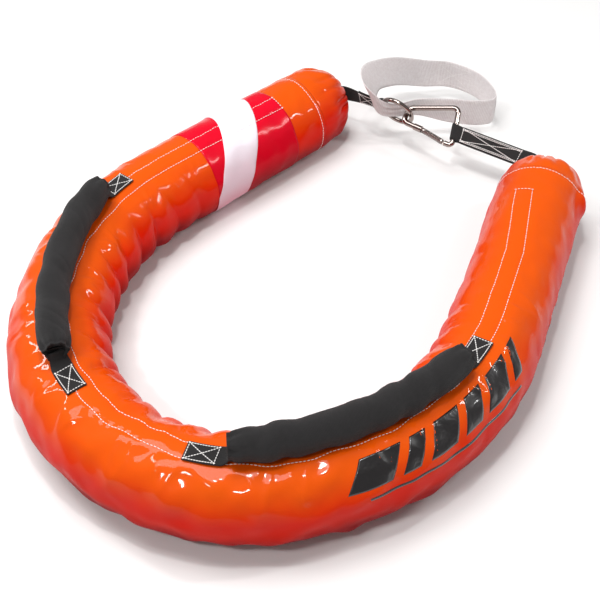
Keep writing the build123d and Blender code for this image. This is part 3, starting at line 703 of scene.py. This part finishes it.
black_strap = woven("woven_polyester_webbing_black", "#1D191A", "#080606", 0.0018, 0.0004, sheen=0.05)
white_strap = woven("woven_polyester_webbing_white", "#FBF8F8", "#CDBFBF", 0.0026, 0.0006, twill=True, sheen=0.05)
grip_cloth = woven("woven_nylon_grip_cloth", "#252223", "#0C0A0A", 0.0019, 0.0006, rough=0.85, sheen=0.06)

thread, tree, where = start_material("polyester_sewing_thread")
twist = put(tree, "ShaderNodeTexNoise", {"Vector": where, "Scale": 900.0})
tint = put(tree, "ShaderNodeMix", {"Factor": twist.outputs[0]}, data_type="RGBA")
tint.inputs[6].default_value, tint.inputs[7].default_value = linear("#E9E3E0"), linear("#FFFDFB")
end_material(tree, {"Base Color": tint.outputs[2], "Roughness": 0.6, "Sheen Weight": 0.2})

# %% [markdown]
# ## The two grips
# Each grip is a fabric sleeve stuffed with foam, sewn up like a sausage. Its weight of cloth gathers
# it into slanting ripples, and its ends are ruffled where the webbing goes in. It could be swept
# along a curve, but the ripples need a grid: the radius of each ring is changed by waves that
# slant round the grip.

# %% Grips
GRIP_R, GRIP_Z = 0.019, 2 * TUBE_R + 0.019 + 0.0006
TAB_UPRIGHT, TAB_SLOPE, TAB_L, STRAP_W, STRAP_T = 0.0123, 0.006, 0.033, 0.025, 0.0016


def grip_ends(sign):
    """The two ends and the middle of a grip's centre line."""
    places = np.array([sign * GRIP_MID - GRIP_L / 2, sign * GRIP_MID, sign * GRIP_MID + GRIP_L / 2])
    points = centre_line(places)[0] + inward(places) * np.array((0, GRIP_FLATTER, 0))[:, None]
    points[:, 2] = GRIP_Z
    return points


def grip_arc(sign):
    """Function from metres along the grip to a point and its tangent, on the arc through three points."""
    a, m, b = grip_ends(sign)[:, :2]
    rows = np.array([2 * (m - a), 2 * (b - a)])
    middle = np.linalg.solve(rows, np.array([m @ m - a @ a, b @ b - a @ a]))
    radius = np.linalg.norm(a - middle)
    t0 = math.atan2(*(a - middle)[::-1])
    t1 = t0 + (math.atan2(*(b - middle)[::-1]) - t0 + math.pi) % (2 * math.pi) - math.pi
    way = np.sign(t1 - t0)

    def place(s):
        t = t0 + way * np.asarray(s) / radius
        points = np.stack((middle[0] + radius * np.cos(t), middle[1] + radius * np.sin(t), np.full_like(t, GRIP_Z)), -1)
        return points, np.stack((-np.sin(t) * way, np.cos(t) * way, np.zeros_like(t)), -1)

    return place, radius * abs(t1 - t0)


print("grip", round(grip_arc(1)[1], 3), "m along its bend")

# %% [markdown]
# ### The grips' cloth
# Rings of points are set along the bend, close together at the ends, where the ruffles are. Each
# end is closed by smaller and smaller rings that sink into the mouth.

# %% Grip cloth
def grip_mesh(sign, name):
    place, length = grip_arc(sign)
    rng = np.random.default_rng(60 + sign)
    shift = rng.uniform(0, 6.28, 8)
    phi = np.linspace(0, 2 * math.pi, 56, endpoint=False)
    tips = 0.004
    s = np.concatenate((np.linspace(-tips, 0.03, 22), np.linspace(0.032, length - 0.032, 130),
                        np.linspace(length - 0.03, length + tips, 22)))
    rings, run = [], []

    def ring(at, radius, lowest):
        (point, tangent) = place(np.array([at]))
        side = np.cross(UP, tangent[0])
        spokes = side * np.cos(phi)[:, None] + UP * np.sin(phi)[:, None]
        # its weight rests on the cover, so the lower half is fuller than a circle
        rests = math.sin(math.pi * min(max(at / length, 0), 1)) ** 0.5 * np.clip(-np.sin(phi), 0, 1)
        full = 1 + 0.13 * rests * np.abs(np.sin(2 * phi))
        points = point[0] + spokes * np.maximum(radius * full, lowest)[:, None]
        points[:, 2] = np.maximum(points[:, 2], 2 * TUBE_R + 0.0003)
        return points

    slump = (0.0010, 0.0016)[sign > 0]
    for at in s:
        inside = min(at, length - at)
        # the cloth is wound a little, so its bulges climb slantwise round the grip
        wind = np.sin(2 * math.pi * at / (0.060, 0.041)[sign > 0] + phi + 0.5 * math.sin(at * 31) + shift[1])
        wave = slump * (0.6 + 0.4 * math.sin(at * 43 + shift[7])) * (wind - 0.35 * np.abs(wind) ** 3)
        wave += 0.0005 * np.sin(2 * math.pi * at / 0.071 - 2 * phi + shift[3])
        # short creases run slantwise across the bulges
        slant = math.pi * at / 0.023 + 1.5 * phi + 0.8 * np.sin(2 * phi + at * 60 + shift[2])
        wave += 0.0009 * (np.abs(np.sin(slant)) ** 0.5 - 0.8) * (0.5 + 0.5 * np.sin(at * 71 + phi + shift[4]))
        near = math.exp(-max(inside, 0) / 0.009)
        ruffle = near * (0.0017 * np.cos(6 * phi + shift[5]) + 0.0010 * np.cos(11 * phi + shift[6]))
        shrink = -0.0042 * near - (0.0012 if inside < 0 else 0)
        # the padding is 16.8 mm in radius, so the cloth never goes below 18 mm over it
        rings.append(ring(at, GRIP_R + 0.0003 + wave * (1 - near) + ruffle + shrink, 0.0180 - 0.0050 * near))
    for end, way in ((0, -1), (length, 1)):
        outer = rings[0] if way < 0 else rings[-1]
        centre = place(np.array([end]))[0][0]
        tangent = place(np.array([end]))[1][0] * way
        closing = []
        for share, back_by in ((0.93, -0.0006), (0.86, 0.0030), (0.72, 0.0055), (0.45, 0.0065), (0.2, 0.0070)):
            closing.append(centre + tangent * (tips - back_by) + (outer - centre - tangent * tips) * share)
        rings = closing[::-1] + rings if way < 0 else rings + closing
    rings = np.stack(rings)
    middle = rings.mean(1)
    u = lengths(middle)
    v = np.linspace(0, 2 * math.pi * GRIP_R, len(phi) + 1)
    return skin(name, rings, grip_cloth, np.append(u, u[-1]), v)


for sign, hand in ((-1, "left"), (1, "right")):
    grip = grip_mesh(sign, f"{hand}_grip_cloth")
    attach(grip, f"{hand}_handle")
    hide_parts(f"{hand}_grip_sleeve")
    print(grip.name, len(grip.data.polygons), "faces")

# %% [markdown]
# ## Tabs at the grips' ends
# The grip's webbing comes out of the sleeve, folds down and is sewn flat on the cover. The strap is
# modelled directly, along its own path. It is sewn to the float and stays with it: it ends inside
# the mouth of the grip, which turns about that end.

# %% Tabs
tab_faces = {}
for sign, hand in ((-1, "left"), (1, "right")):
    ends = grip_ends(sign)
    for way, pivot in ((-1, ends[0]), (1, ends[2])):
        where = "arm" if way == sign else "bow"
        end_d = sign * GRIP_MID + way * GRIP_L / 2
        flat_d = end_d + way * (TAB_UPRIGHT + TAB_SLOPE + np.linspace(TAB_L, -0.005, 16))
        flat = on_cover(flat_d, 0 * flat_d, 0.0006 + STRAP_T / 2)
        flat[:, 2] = np.maximum(flat[:, 2], 2 * TUBE_R + 0.0004)
        foot = flat[-1]
        tangent = along(np.array([end_d]))[0] * -way
        k = np.linspace(0, 1, 12)[1:, None]
        goal = pivot - tangent * 0.0012 - UP * 0.003
        lift = foot + tangent * 0.011
        rise = foot * (1 - k) ** 2 + lift * 2 * k * (1 - k) + goal * k ** 2
        centres = np.concatenate((flat, rise))
        across = np.concatenate((inward(flat_d), np.repeat(inward(np.array([end_d])), len(rise), 0)))
        widths = np.concatenate((np.full(len(flat), STRAP_W), np.linspace(STRAP_W, 0.019, len(rise))))
        tab = webbing(f"{hand}_grip_{where}_strap", centres, across, widths, STRAP_T, black_strap)
        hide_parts(f"{hand}_grip_{where}_tab")
        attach(tab, "float")
        tab_faces[f"{hand}_{where}"] = (flat, across[:len(flat)])
print("tabs", ", ".join(tab_faces))

# %% [markdown]
# ## Polished steel
# The ring and the carabiner are polished stainless steel. The CAD shapes are right, so they stay,
# and only get a finish: metal with a low roughness and fine scratches of a millimetre or two.
# The gate is ribbed across every 1.9 mm, which is a wave along its own axis.

# %% Steel
def steel(name, colour, rough, ribs=None):
    material, tree, where = start_material(name)
    scratch = put(tree, "ShaderNodeTexNoise", {"Vector": where, "Scale": 420.0, "Detail": 5.0}).outputs[0]
    height, depth = scratch, 0.00003
    if ribs is not None:
        dot = put(tree, "ShaderNodeVectorMath", {0: where, 1: ribs}, operation="DOT_PRODUCT").outputs["Value"]
        turns = put(tree, "ShaderNodeMath", {0: dot, 1: 2 * math.pi / 0.0019}, operation="MULTIPLY")
        height = put(tree, "ShaderNodeMath", {0: turns.outputs[0]}, operation="SINE").outputs[0]
        depth = 0.00035
    bump = put(tree, "ShaderNodeBump", {"Strength": 1.0, "Distance": depth, "Height": height})
    end_material(tree, {"Base Color": linear(colour), "Metallic": 1.0, "Roughness": rough,
                        "Normal": bump.outputs[0]})
    return material


# painted reflection: the base colour is darkened and tinted brown, standing in for the orange float and dim
# surroundings mirrored in the steel
polished = steel("stainless_steel_polished", "#9A8E89", 0.12)
gate_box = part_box("carabiner_gate")
gate_run = Vector((gate_box[1].x - gate_box[0].x, -(gate_box[1].y - gate_box[0].y), -(gate_box[1].z - gate_box[0].z)))
gate_run.normalize()
# painted reflection: the gate's darkened, brown-tinted base colour stands in for the orange float mirrored in it
ribbed = steel("stainless_steel_ribbed_gate", "#9A908C", 0.2, tuple(gate_run))
turned_steel = steel("stainless_steel_turned_pin", "#8E8885", 0.3)
spring_wire = steel("spring_steel_wire", "#77736F", 0.35)


def dress(finish, *nodes):
    """Gives CAD pieces that keep their shapes a finish."""
    for node in nodes:
        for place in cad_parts[node].material_slots:
            place.material = finish
    print(finish.name, "on", ", ".join(nodes))


dress(polished, "steel_ring", "carabiner_body")
dress(ribbed, "carabiner_gate")
dress(turned_steel, "gate_hinge_pin", "gate_latch_pin", "gate_plunger")
dress(spring_wire, "gate_spring")

# %% [markdown]
# ## Foam and hidden webbing
# The foam logs, the grips' padding and the webbing inside them don't show, but they are real pieces
# of the model. They keep their CAD shapes and get plain finishes: closed-cell foam has a fine
# pebbled skin, with cells of about 0.7 mm.

# %% Foam
foam, tree, where = start_material("closed_cell_polyethylene_foam")
cells = put(tree, "ShaderNodeTexVoronoi", {"Vector": where, "Scale": 1400.0})
bump = put(tree, "ShaderNodeBump", {"Strength": 0.6, "Distance": 0.0002, "Height": cells.outputs[0]})
end_material(tree, {"Base Color": linear("#ECEAE2"), "Roughness": 0.85, "Normal": bump.outputs[0]})
hidden_weave, tree, where = start_material("woven_polyester_webbing_inner")
ribs = put(tree, "ShaderNodeTexWave", {"Vector": where, "Scale": 160.0})
bump = put(tree, "ShaderNodeBump", {"Strength": 0.7, "Distance": 0.0003, "Height": ribs.outputs[0]})
end_material(tree, {"Base Color": linear("#171516"), "Roughness": 0.8, "Normal": bump.outputs[0]})
dress(foam, "foam_left_arm", "foam_bow", "foam_right_arm", "left_grip_core", "right_grip_core")
dress(hidden_weave, "left_grip_webbing", "right_grip_webbing")

# %% [markdown]
# ## The webbing tails
# Each tail comes out of a gathered end, bends towards the other arm, goes round its steel rod and
# comes back on itself, sewn double. One strap along that folded path makes the eye as it is really
# made. The float stays while the clip rolls, so the tail twists.

# %% Tails
ring_low, ring_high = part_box("steel_ring")
ring_middle = (ring_low + ring_high) / 2
CHAIN_Y, CHAIN_Z = ring_middle.y, ring_middle.z
RING_TILT, CLIP_TILT = math.radians(20), math.radians(30)
RING_ROD_X, RING_ROD_R, ROD_R = ring_low.x + 0.0035, 0.0035, 0.004
CLIP_X, CLIP_L, CLIP_TOP, CLIP_LOW, CLIP_BACK = -0.058, 0.084, 0.038, 0.020, 0.015
clip_slope = math.atan2(CLIP_BACK + 0.0025, CLIP_TOP + CLIP_LOW + 0.0002)
CLIP_ROD_X = CLIP_X + CLIP_L - CLIP_BACK + CLIP_TOP * math.tan(clip_slope)
EYE_GAP = 0.0004
tail_parts = {}
print("ring at", tuple(round(v, 4) for v in ring_middle), "clip slopes", round(math.degrees(clip_slope), 1), "degrees")


def smooth_share(x):
    x = np.clip(x, 0, 1)
    return x * x * (3 - 2 * x)

# %% [markdown]
# ### One tail along its path
# The path runs from inside the end to the rod, half round it and back. The strap stands upright
# where it leaves the end, then takes the slant of the clip, and at last that of the rod in its eye.

# %% Tail path

def build_tail(sign, hand, rod_x, rod_r, long_eye, across_clip, across_eye, doubled_to):
    """sign is the side of the end it leaves. Widths turn from upright to across_clip to across_eye."""
    tip = centre_line(np.array([sign * HALF_L]))[0][0]
    tip[2] = CHAIN_Z
    out = along(np.array([sign * HALF_L]))[0] * sign
    exit_point = tip + out * 0.001
    start = tip - out * 0.010
    bend_to = np.array((sign * 0.134, CHAIN_Y, CHAIN_Z))
    corner = np.array((exit_point[0] + sign * -0.002, CHAIN_Y, CHAIN_Z))
    k = np.linspace(0, 1, 16)[:, None]
    curve = exit_point * (1 - k) ** 2 + corner * 2 * k * (1 - k) + bend_to * k ** 2
    lead = np.concatenate((start[None], (start + exit_point)[None] / 2, curve))
    face = np.cross((1.0, 0, 0), across_clip)
    face /= np.linalg.norm(face)
    layer, eye = STRAP_T / 2 + 0.0001, rod_r + EYE_GAP + STRAP_T / 2
    to_rod = -sign
    # along the first layer, round the rod, and back along the second
    offs = np.linspace(0, 1, 26)
    first_x = bend_to[0] + (rod_x - bend_to[0]) * offs
    opening = smooth_share(1 - np.abs(rod_x - first_x) / 0.010)
    first = np.stack((first_x, layer + (eye - layer) * opening), -1)
    turn = np.linspace(0, math.pi, 15)[1:-1]
    nose = np.stack((rod_x + to_rod * (long_eye + eye * np.sin(turn)), eye * np.cos(turn)), -1)
    stop_x = sign * doubled_to
    second_x = rod_x + (stop_x - rod_x) * offs
    opening = smooth_share(1 - np.abs(rod_x - second_x) / 0.010)
    second = np.stack((second_x, -layer - (eye - layer) * opening), -1)
    pairs = np.concatenate((first[1:], nose, second))
    rest = np.array((0, CHAIN_Y, CHAIN_Z)) + pairs[:, :1] * np.array((1.0, 0, 0)) + face * pairs[:, 1:]
    lead = lead + face * (layer * smooth_share(np.linspace(0, 1, len(lead)))[:, None])
    centres = np.concatenate((lead, rest))

    def across_at(x):
        """Unit width directions: upright at the exit, then the clip's, then the eye's."""
        twist = smooth_share((exit_point[0] * sign - x * sign - 0.006) / 0.045)[:, None]
        near_eye = smooth_share(1 - (x * sign - rod_x * sign - 0.004) / 0.022)[:, None]
        way = UP * (1 - twist) + across_clip * twist
        way = way * (1 - near_eye) + across_eye * near_eye
        return way / np.linalg.norm(way, axis=1)[:, None]

    tail = webbing(f"{hand}_tail_strap", centres, across_at(centres[:, 0]), STRAP_W, STRAP_T, black_strap, cells=10)

    def on_face(x, v, top):
        """Point on the outer face of the doubled part: x along the chain, v across."""
        x, v = np.broadcast_arrays(np.asarray(x, float), np.asarray(v, float))
        across = across_at(x)
        out_of_face = np.cross((1.0, 0, 0), across)
        out_of_face /= np.linalg.norm(out_of_face, axis=1)[:, None] * (1 if top else -1)
        base = np.stack((x, np.full_like(x, CHAIN_Y), np.full_like(x, CHAIN_Z)), -1)
        return base + across * v[:, None] + out_of_face * (STRAP_T + 0.0003)

    tail_parts[hand] = (tail, on_face, exit_point, bend_to)
    return tail

# %% [markdown]
# ### Both tails
# The left one goes round the ring and the right one round the clip. The left one also stands for
# the load webbing, whose ends come out of the float there.

# %% Both tails
ring_across = np.array((0, -math.sin(RING_TILT), math.cos(RING_TILT)))
clip_across = np.array((0, math.cos(CLIP_TILT), math.sin(CLIP_TILT)))
eye_across = clip_across * math.cos(clip_slope) - np.array((math.sin(clip_slope), 0, 0))
left_tail = build_tail(-1, "left", RING_ROD_X, RING_ROD_R, 0.0036, ring_across, ring_across, 0.141)
right_tail = build_tail(1, "right", CLIP_ROD_X, ROD_R, 0.0, clip_across, eye_across, 0.128)
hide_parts("left_tail", "load_webbing")
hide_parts("right_tail")
print("tails", left_tail.name, right_tail.name)

# %% [markdown]
# ## The lifting loop
# A band of 45 mm white webbing stands on edge behind the clip. It goes through the steel ring, where
# it is gathered, flares to the left over the tail, runs round the back and folds sharply at the
# right. The same guide points as in the CAD model carry a smooth closed line, with a width and a
# lean at each.

# %% Lifting loop
LOOP_W, LOOP_T = 45, 0.0024            # width in mm, thickness in metres
HOLD = np.array((ring_middle.x - 0.0015, CHAIN_Y, CHAIN_Z + 0.001))
GUIDE = np.array([       # x, y, z from the ring in mm, width in mm, lean in degrees
    (0, 0, 0, 23, 0), (-17, -17, 8, 30.6, 10), (-36, -19, 27, LOOP_W, 24), (-48, 4, 36, LOOP_W, 38),
    (-46, 36, 27.5, LOOP_W, 40), (-36, 74, 12.5, LOOP_W, 28), (-16, 112, -6, LOOP_W, 10), (14, 141.3, -14, LOOP_W, 2),
    (62, 142.3, -17, LOOP_W, 0), (99, 123, -18, LOOP_W, 0), (111, 103, -19, LOOP_W, 0), (97, 84, -18, LOOP_W, 0),
    (59, 57, -13, 42.75, 0), (22, 27, -2, 29.7, 0)], float)
STEPS = 14


def closed_line(points, steps):
    """Catmull-Rom line through a closed list of rows."""
    before, after, beyond = np.roll(points, 1, 0), np.roll(points, -1, 0), np.roll(points, -2, 0)
    rows = []
    for k in range(steps):
        u = k / steps
        rows.append(0.5 * (2 * points + (after - before) * u + (2 * before - 5 * points + 4 * after - beyond) * u ** 2
                           + (3 * points - before - 3 * after + beyond) * u ** 3))
    return np.stack(rows, 1).reshape(-1, points.shape[1])


loop_rows = closed_line(GUIDE, STEPS)
loop_centres = HOLD + loop_rows[:, :3] / 1000
loop_widths = loop_rows[:, 3] / 1000
loop_run = np.roll(loop_centres, -1, 0) - np.roll(loop_centres, 1, 0)
loop_out = np.stack((loop_run[:, 1], -loop_run[:, 0], 0 * loop_run[:, 0]), -1)
loop_out /= np.linalg.norm(loop_out, axis=1)[:, None]
lean = np.radians(loop_rows[:, 4])[:, None]
loop_across = UP * np.cos(lean) - loop_out * np.sin(lean)
loop_length = lengths(np.concatenate((loop_centres, loop_centres[:1])))
from_ring = np.minimum(loop_length[:-1], loop_length[-1] - loop_length[:-1])
gather = 0.0016 * np.exp(-(from_ring / 0.022) ** 2)
LOOP_CELLS = 16
loop_share = np.linspace(-1, 1, LOOP_CELLS + 1)
ripple = gather[:, None] * np.sin(loop_share * 3 * math.pi)[None, :]
ripple = ripple + 0.0008 * np.sin(loop_length[:-1] * 60)[:, None] * (loop_share ** 2)[None, :]
loop = webbing("lifting_loop_webbing", loop_centres, loop_across, loop_widths, LOOP_T, white_strap, True, ripple,
               LOOP_CELLS)
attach(loop, "clip_chain")
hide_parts("lifting_loop")
print("loop of webbing", round(loop_length[-1], 3), "m round")

# %% [markdown]
# ## Stitches
# Thread shows as rows of short raised stitches. There are well over a thousand, so a Geometry
# Nodes tree sews them: it turns polylines into curves, cuts them at the stitch spacing and puts a
# small grain of thread on each point, turned along the row. Spacing, length, thickness and seed
# are named inputs. The result is made a plain mesh, one for each group of rows.

# %% Stitch tree
sewing = bpy.data.node_groups.new("Stitch rows", "GeometryNodeTree")
sewing.interface.new_socket("Geometry", in_out="INPUT", socket_type="NodeSocketGeometry")
for label, kind in (("Spacing", "Float"), ("Stitch length", "Float"), ("Thread radius", "Float"), ("Seed", "Int"),
                    ("Thread", "Material")):
    sewing.interface.new_socket(label, in_out="INPUT", socket_type=f"NodeSocket{kind}")
sewing.interface.new_socket("Geometry", in_out="OUTPUT", socket_type="NodeSocketGeometry")
given = put(sewing, "NodeGroupInput").outputs
rows = put(sewing, "GeometryNodeMeshToCurve", {"Mesh": given["Geometry"]})
spots = put(sewing, "GeometryNodeResampleCurve", {"Curve": rows.outputs[0], "Length": given["Spacing"]}, mode="LENGTH")
tangent = put(sewing, "GeometryNodeInputTangent")
turn = put(sewing, "FunctionNodeAlignRotationToVector", {"Vector": tangent.outputs[0]}, axis="Z")
grain = put(sewing, "GeometryNodeMeshUVSphere", {"Segments": 6, "Rings": 4, "Radius": 1.0})
uneven = put(sewing, "FunctionNodeRandomValue", {2: 0.42, 3: 0.54, "Seed": given["Seed"]}, data_type="FLOAT")
half = put(sewing, "ShaderNodeMath", {0: given["Stitch length"], 1: uneven.outputs[1]}, operation="MULTIPLY")
size = put(sewing, "ShaderNodeCombineXYZ", {0: given["Thread radius"], 1: given["Thread radius"], 2: half.outputs[0]})
sewn = put(sewing, "GeometryNodeInstanceOnPoints", {"Points": spots.outputs[0], "Instance": grain.outputs["Mesh"],
                                                    "Rotation": turn.outputs[0], "Scale": size.outputs[0]})
real = put(sewing, "GeometryNodeRealizeInstances", {0: sewn.outputs[0]})
smooth = put(sewing, "GeometryNodeSetShadeSmooth", {"Geometry": real.outputs[0]})
dyed = put(sewing, "GeometryNodeSetMaterial", {"Geometry": smooth.outputs[0], "Material": given["Thread"]})
put(sewing, "NodeGroupOutput", {"Geometry": dyed.outputs[0]})


def sew(name, lines, spacing=0.0043, length=0.0037, radius=0.00050, seed=1):
    """Stitches along a list of polylines, as one plain mesh."""
    points, edges = [], []
    for line in lines:
        first = len(points)
        points += [tuple(p) for p in line]
        edges += [(k, k + 1) for k in range(first, len(points) - 1)]
    guide = bpy.data.meshes.new(name + "_lines")
    guide.from_pydata(points, edges, [])
    carrier = add_object(name + "_lines", guide)
    modifier = carrier.modifiers.new("sewing", "NODES")
    modifier.node_group = sewing
    values = {"Spacing": spacing, "Stitch length": length, "Thread radius": radius, "Seed": seed, "Thread": thread}
    for item in sewing.interface.items_tree:
        if item.in_out == "INPUT" and item.name in values:
            modifier[item.identifier] = values[item.name]
    graph = bpy.context.evaluated_depsgraph_get()
    mesh = bpy.data.meshes.new_from_object(carrier.evaluated_get(graph))
    mesh.name = name
    if not mesh.materials:
        mesh.materials.append(thread)
    stitches = add_object(name, mesh)
    bpy.data.objects.remove(carrier)
    bpy.data.meshes.remove(guide)
    print(name, len(mesh.polygons), "faces")
    return stitches

# %% [markdown]
# ### Where the rows run
# The cover has a row round each hem and two long rows that hold the load webbing. Each tab is sewn
# with a box and a cross, and so are the doubled tails and the loop.

# %% Rows on the cover and the tabs
def cover_line(d, around_degrees, lift=0.0003):
    return on_cover(np.asarray(d), np.radians(np.asarray(around_degrees)), lift)


full_turn = np.linspace(-180, 180, 260)
float_rows = [cover_line(np.full(260, -SEAM_AT + 0.005), full_turn),
              cover_line(np.full(260, COVER_RIGHT - 0.004), full_turn)]
for side in (-0.5, 0.5):
    mm = np.linspace(-723, 744, 900)
    over_patch = np.where((mm > -724) & (mm < -576), 0.0013, 0.0003)
    float_rows.append(on_cover(mm / 1000, np.radians(channel_middle(mm) + side * ROW_APART_DEG), over_patch))
for stop in (-723, 744):
    turn_row = np.linspace(-0.5, 0.5, 14) * ROW_APART_DEG + channel_middle(stop)
    float_rows.append(cover_line(np.full(14, stop / 1000), turn_row, 0.0013))
cover_stitches = sew("cover_stitches", float_rows)
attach(cover_stitches, "float")


def box_and_cross(corner):
    """Lines of a sewn box with a cross: corner(a, b) gives a point for shares -1 to 1."""
    t = np.linspace(-1, 1, 16)
    one = np.ones_like(t)
    lines = [(t, -one), (t, one), (-one, t), (one, t), (t, t), (t, -t)]
    return [np.array([corner(a, b) for a, b in zip(*line)]) for line in lines]


tab_rows = []
for flat, across in tab_faces.values():
    run = lengths(flat)
    middle, half_run = run[-1] / 2 - 0.0005, run[-1] / 2 - 0.0025

    def on_tab(a, b):
        at = middle + a * half_run
        point = np.array([np.interp(at, run, flat[:, k]) for k in range(3)])
        return point + across[0] * b * 0.0104 + UP * (STRAP_T / 2 + 0.0002)

    tab_rows += box_and_cross(on_tab)
tab_stitches = sew("tab_stitches", tab_rows, 0.0030, 0.0032, 0.00062, 2)
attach(tab_stitches, "float")

# %% Rows on the tails and the loop
for hand, (tail, on_face, exit_point, bend_to) in tail_parts.items():
    sign = -1 if hand == "left" else 1
    inner = (RING_ROD_X if hand == "left" else CLIP_ROD_X) * sign + 0.0125
    outer = 0.139 if hand == "left" else 0.126
    lines = []
    for top in (True, False):
        def corner(a, b):
            x = sign * (inner + (outer - inner) * (a + 1) / 2)
            return on_face([x], [b * 0.0098], top)[0]

        lines += box_and_cross(corner)
        if hand == "right":
            run = np.linspace(inner, outer, 30)
            lines.append(on_face(sign * run, np.full(30, 0.0080), top))
            lines.append(on_face(sign * run, np.full(30, -0.0080), top))
    stitches = sew(f"{hand}_tail_stitches", lines, 0.0029, 0.0031, 0.00056, 3)
    for piece in (tail, stitches):
        tuple(exit_point)
        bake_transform(piece)

far = int(7.2 * STEPS)
loop_lines = []
for side in (-1, 1):
    def on_loop(a, b):
        at = (far + a * 8) % len(loop_centres)
        i, f = int(at), at - int(at)
        j = (i + 1) % len(loop_centres)
        point = loop_centres[i] * (1 - f) + loop_centres[j] * f
        return point + loop_across[i] * b * 0.017 + side * loop_out[i] * (LOOP_T / 2 + 0.0002)

    loop_lines += box_and_cross(on_loop)
loop_stitches = sew("loop_stitches", loop_lines, 0.0032, 0.0030, 0.00038, 4)
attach(loop_stitches, "clip_chain")

# %% Sizes
seen_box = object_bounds()
sizes = {"cad": [[float(v) for v in corner] for corner in cad_box],
         "visual": [[float(v) for v in corner] for corner in seen_box]}
print("visual box", sizes["visual"])
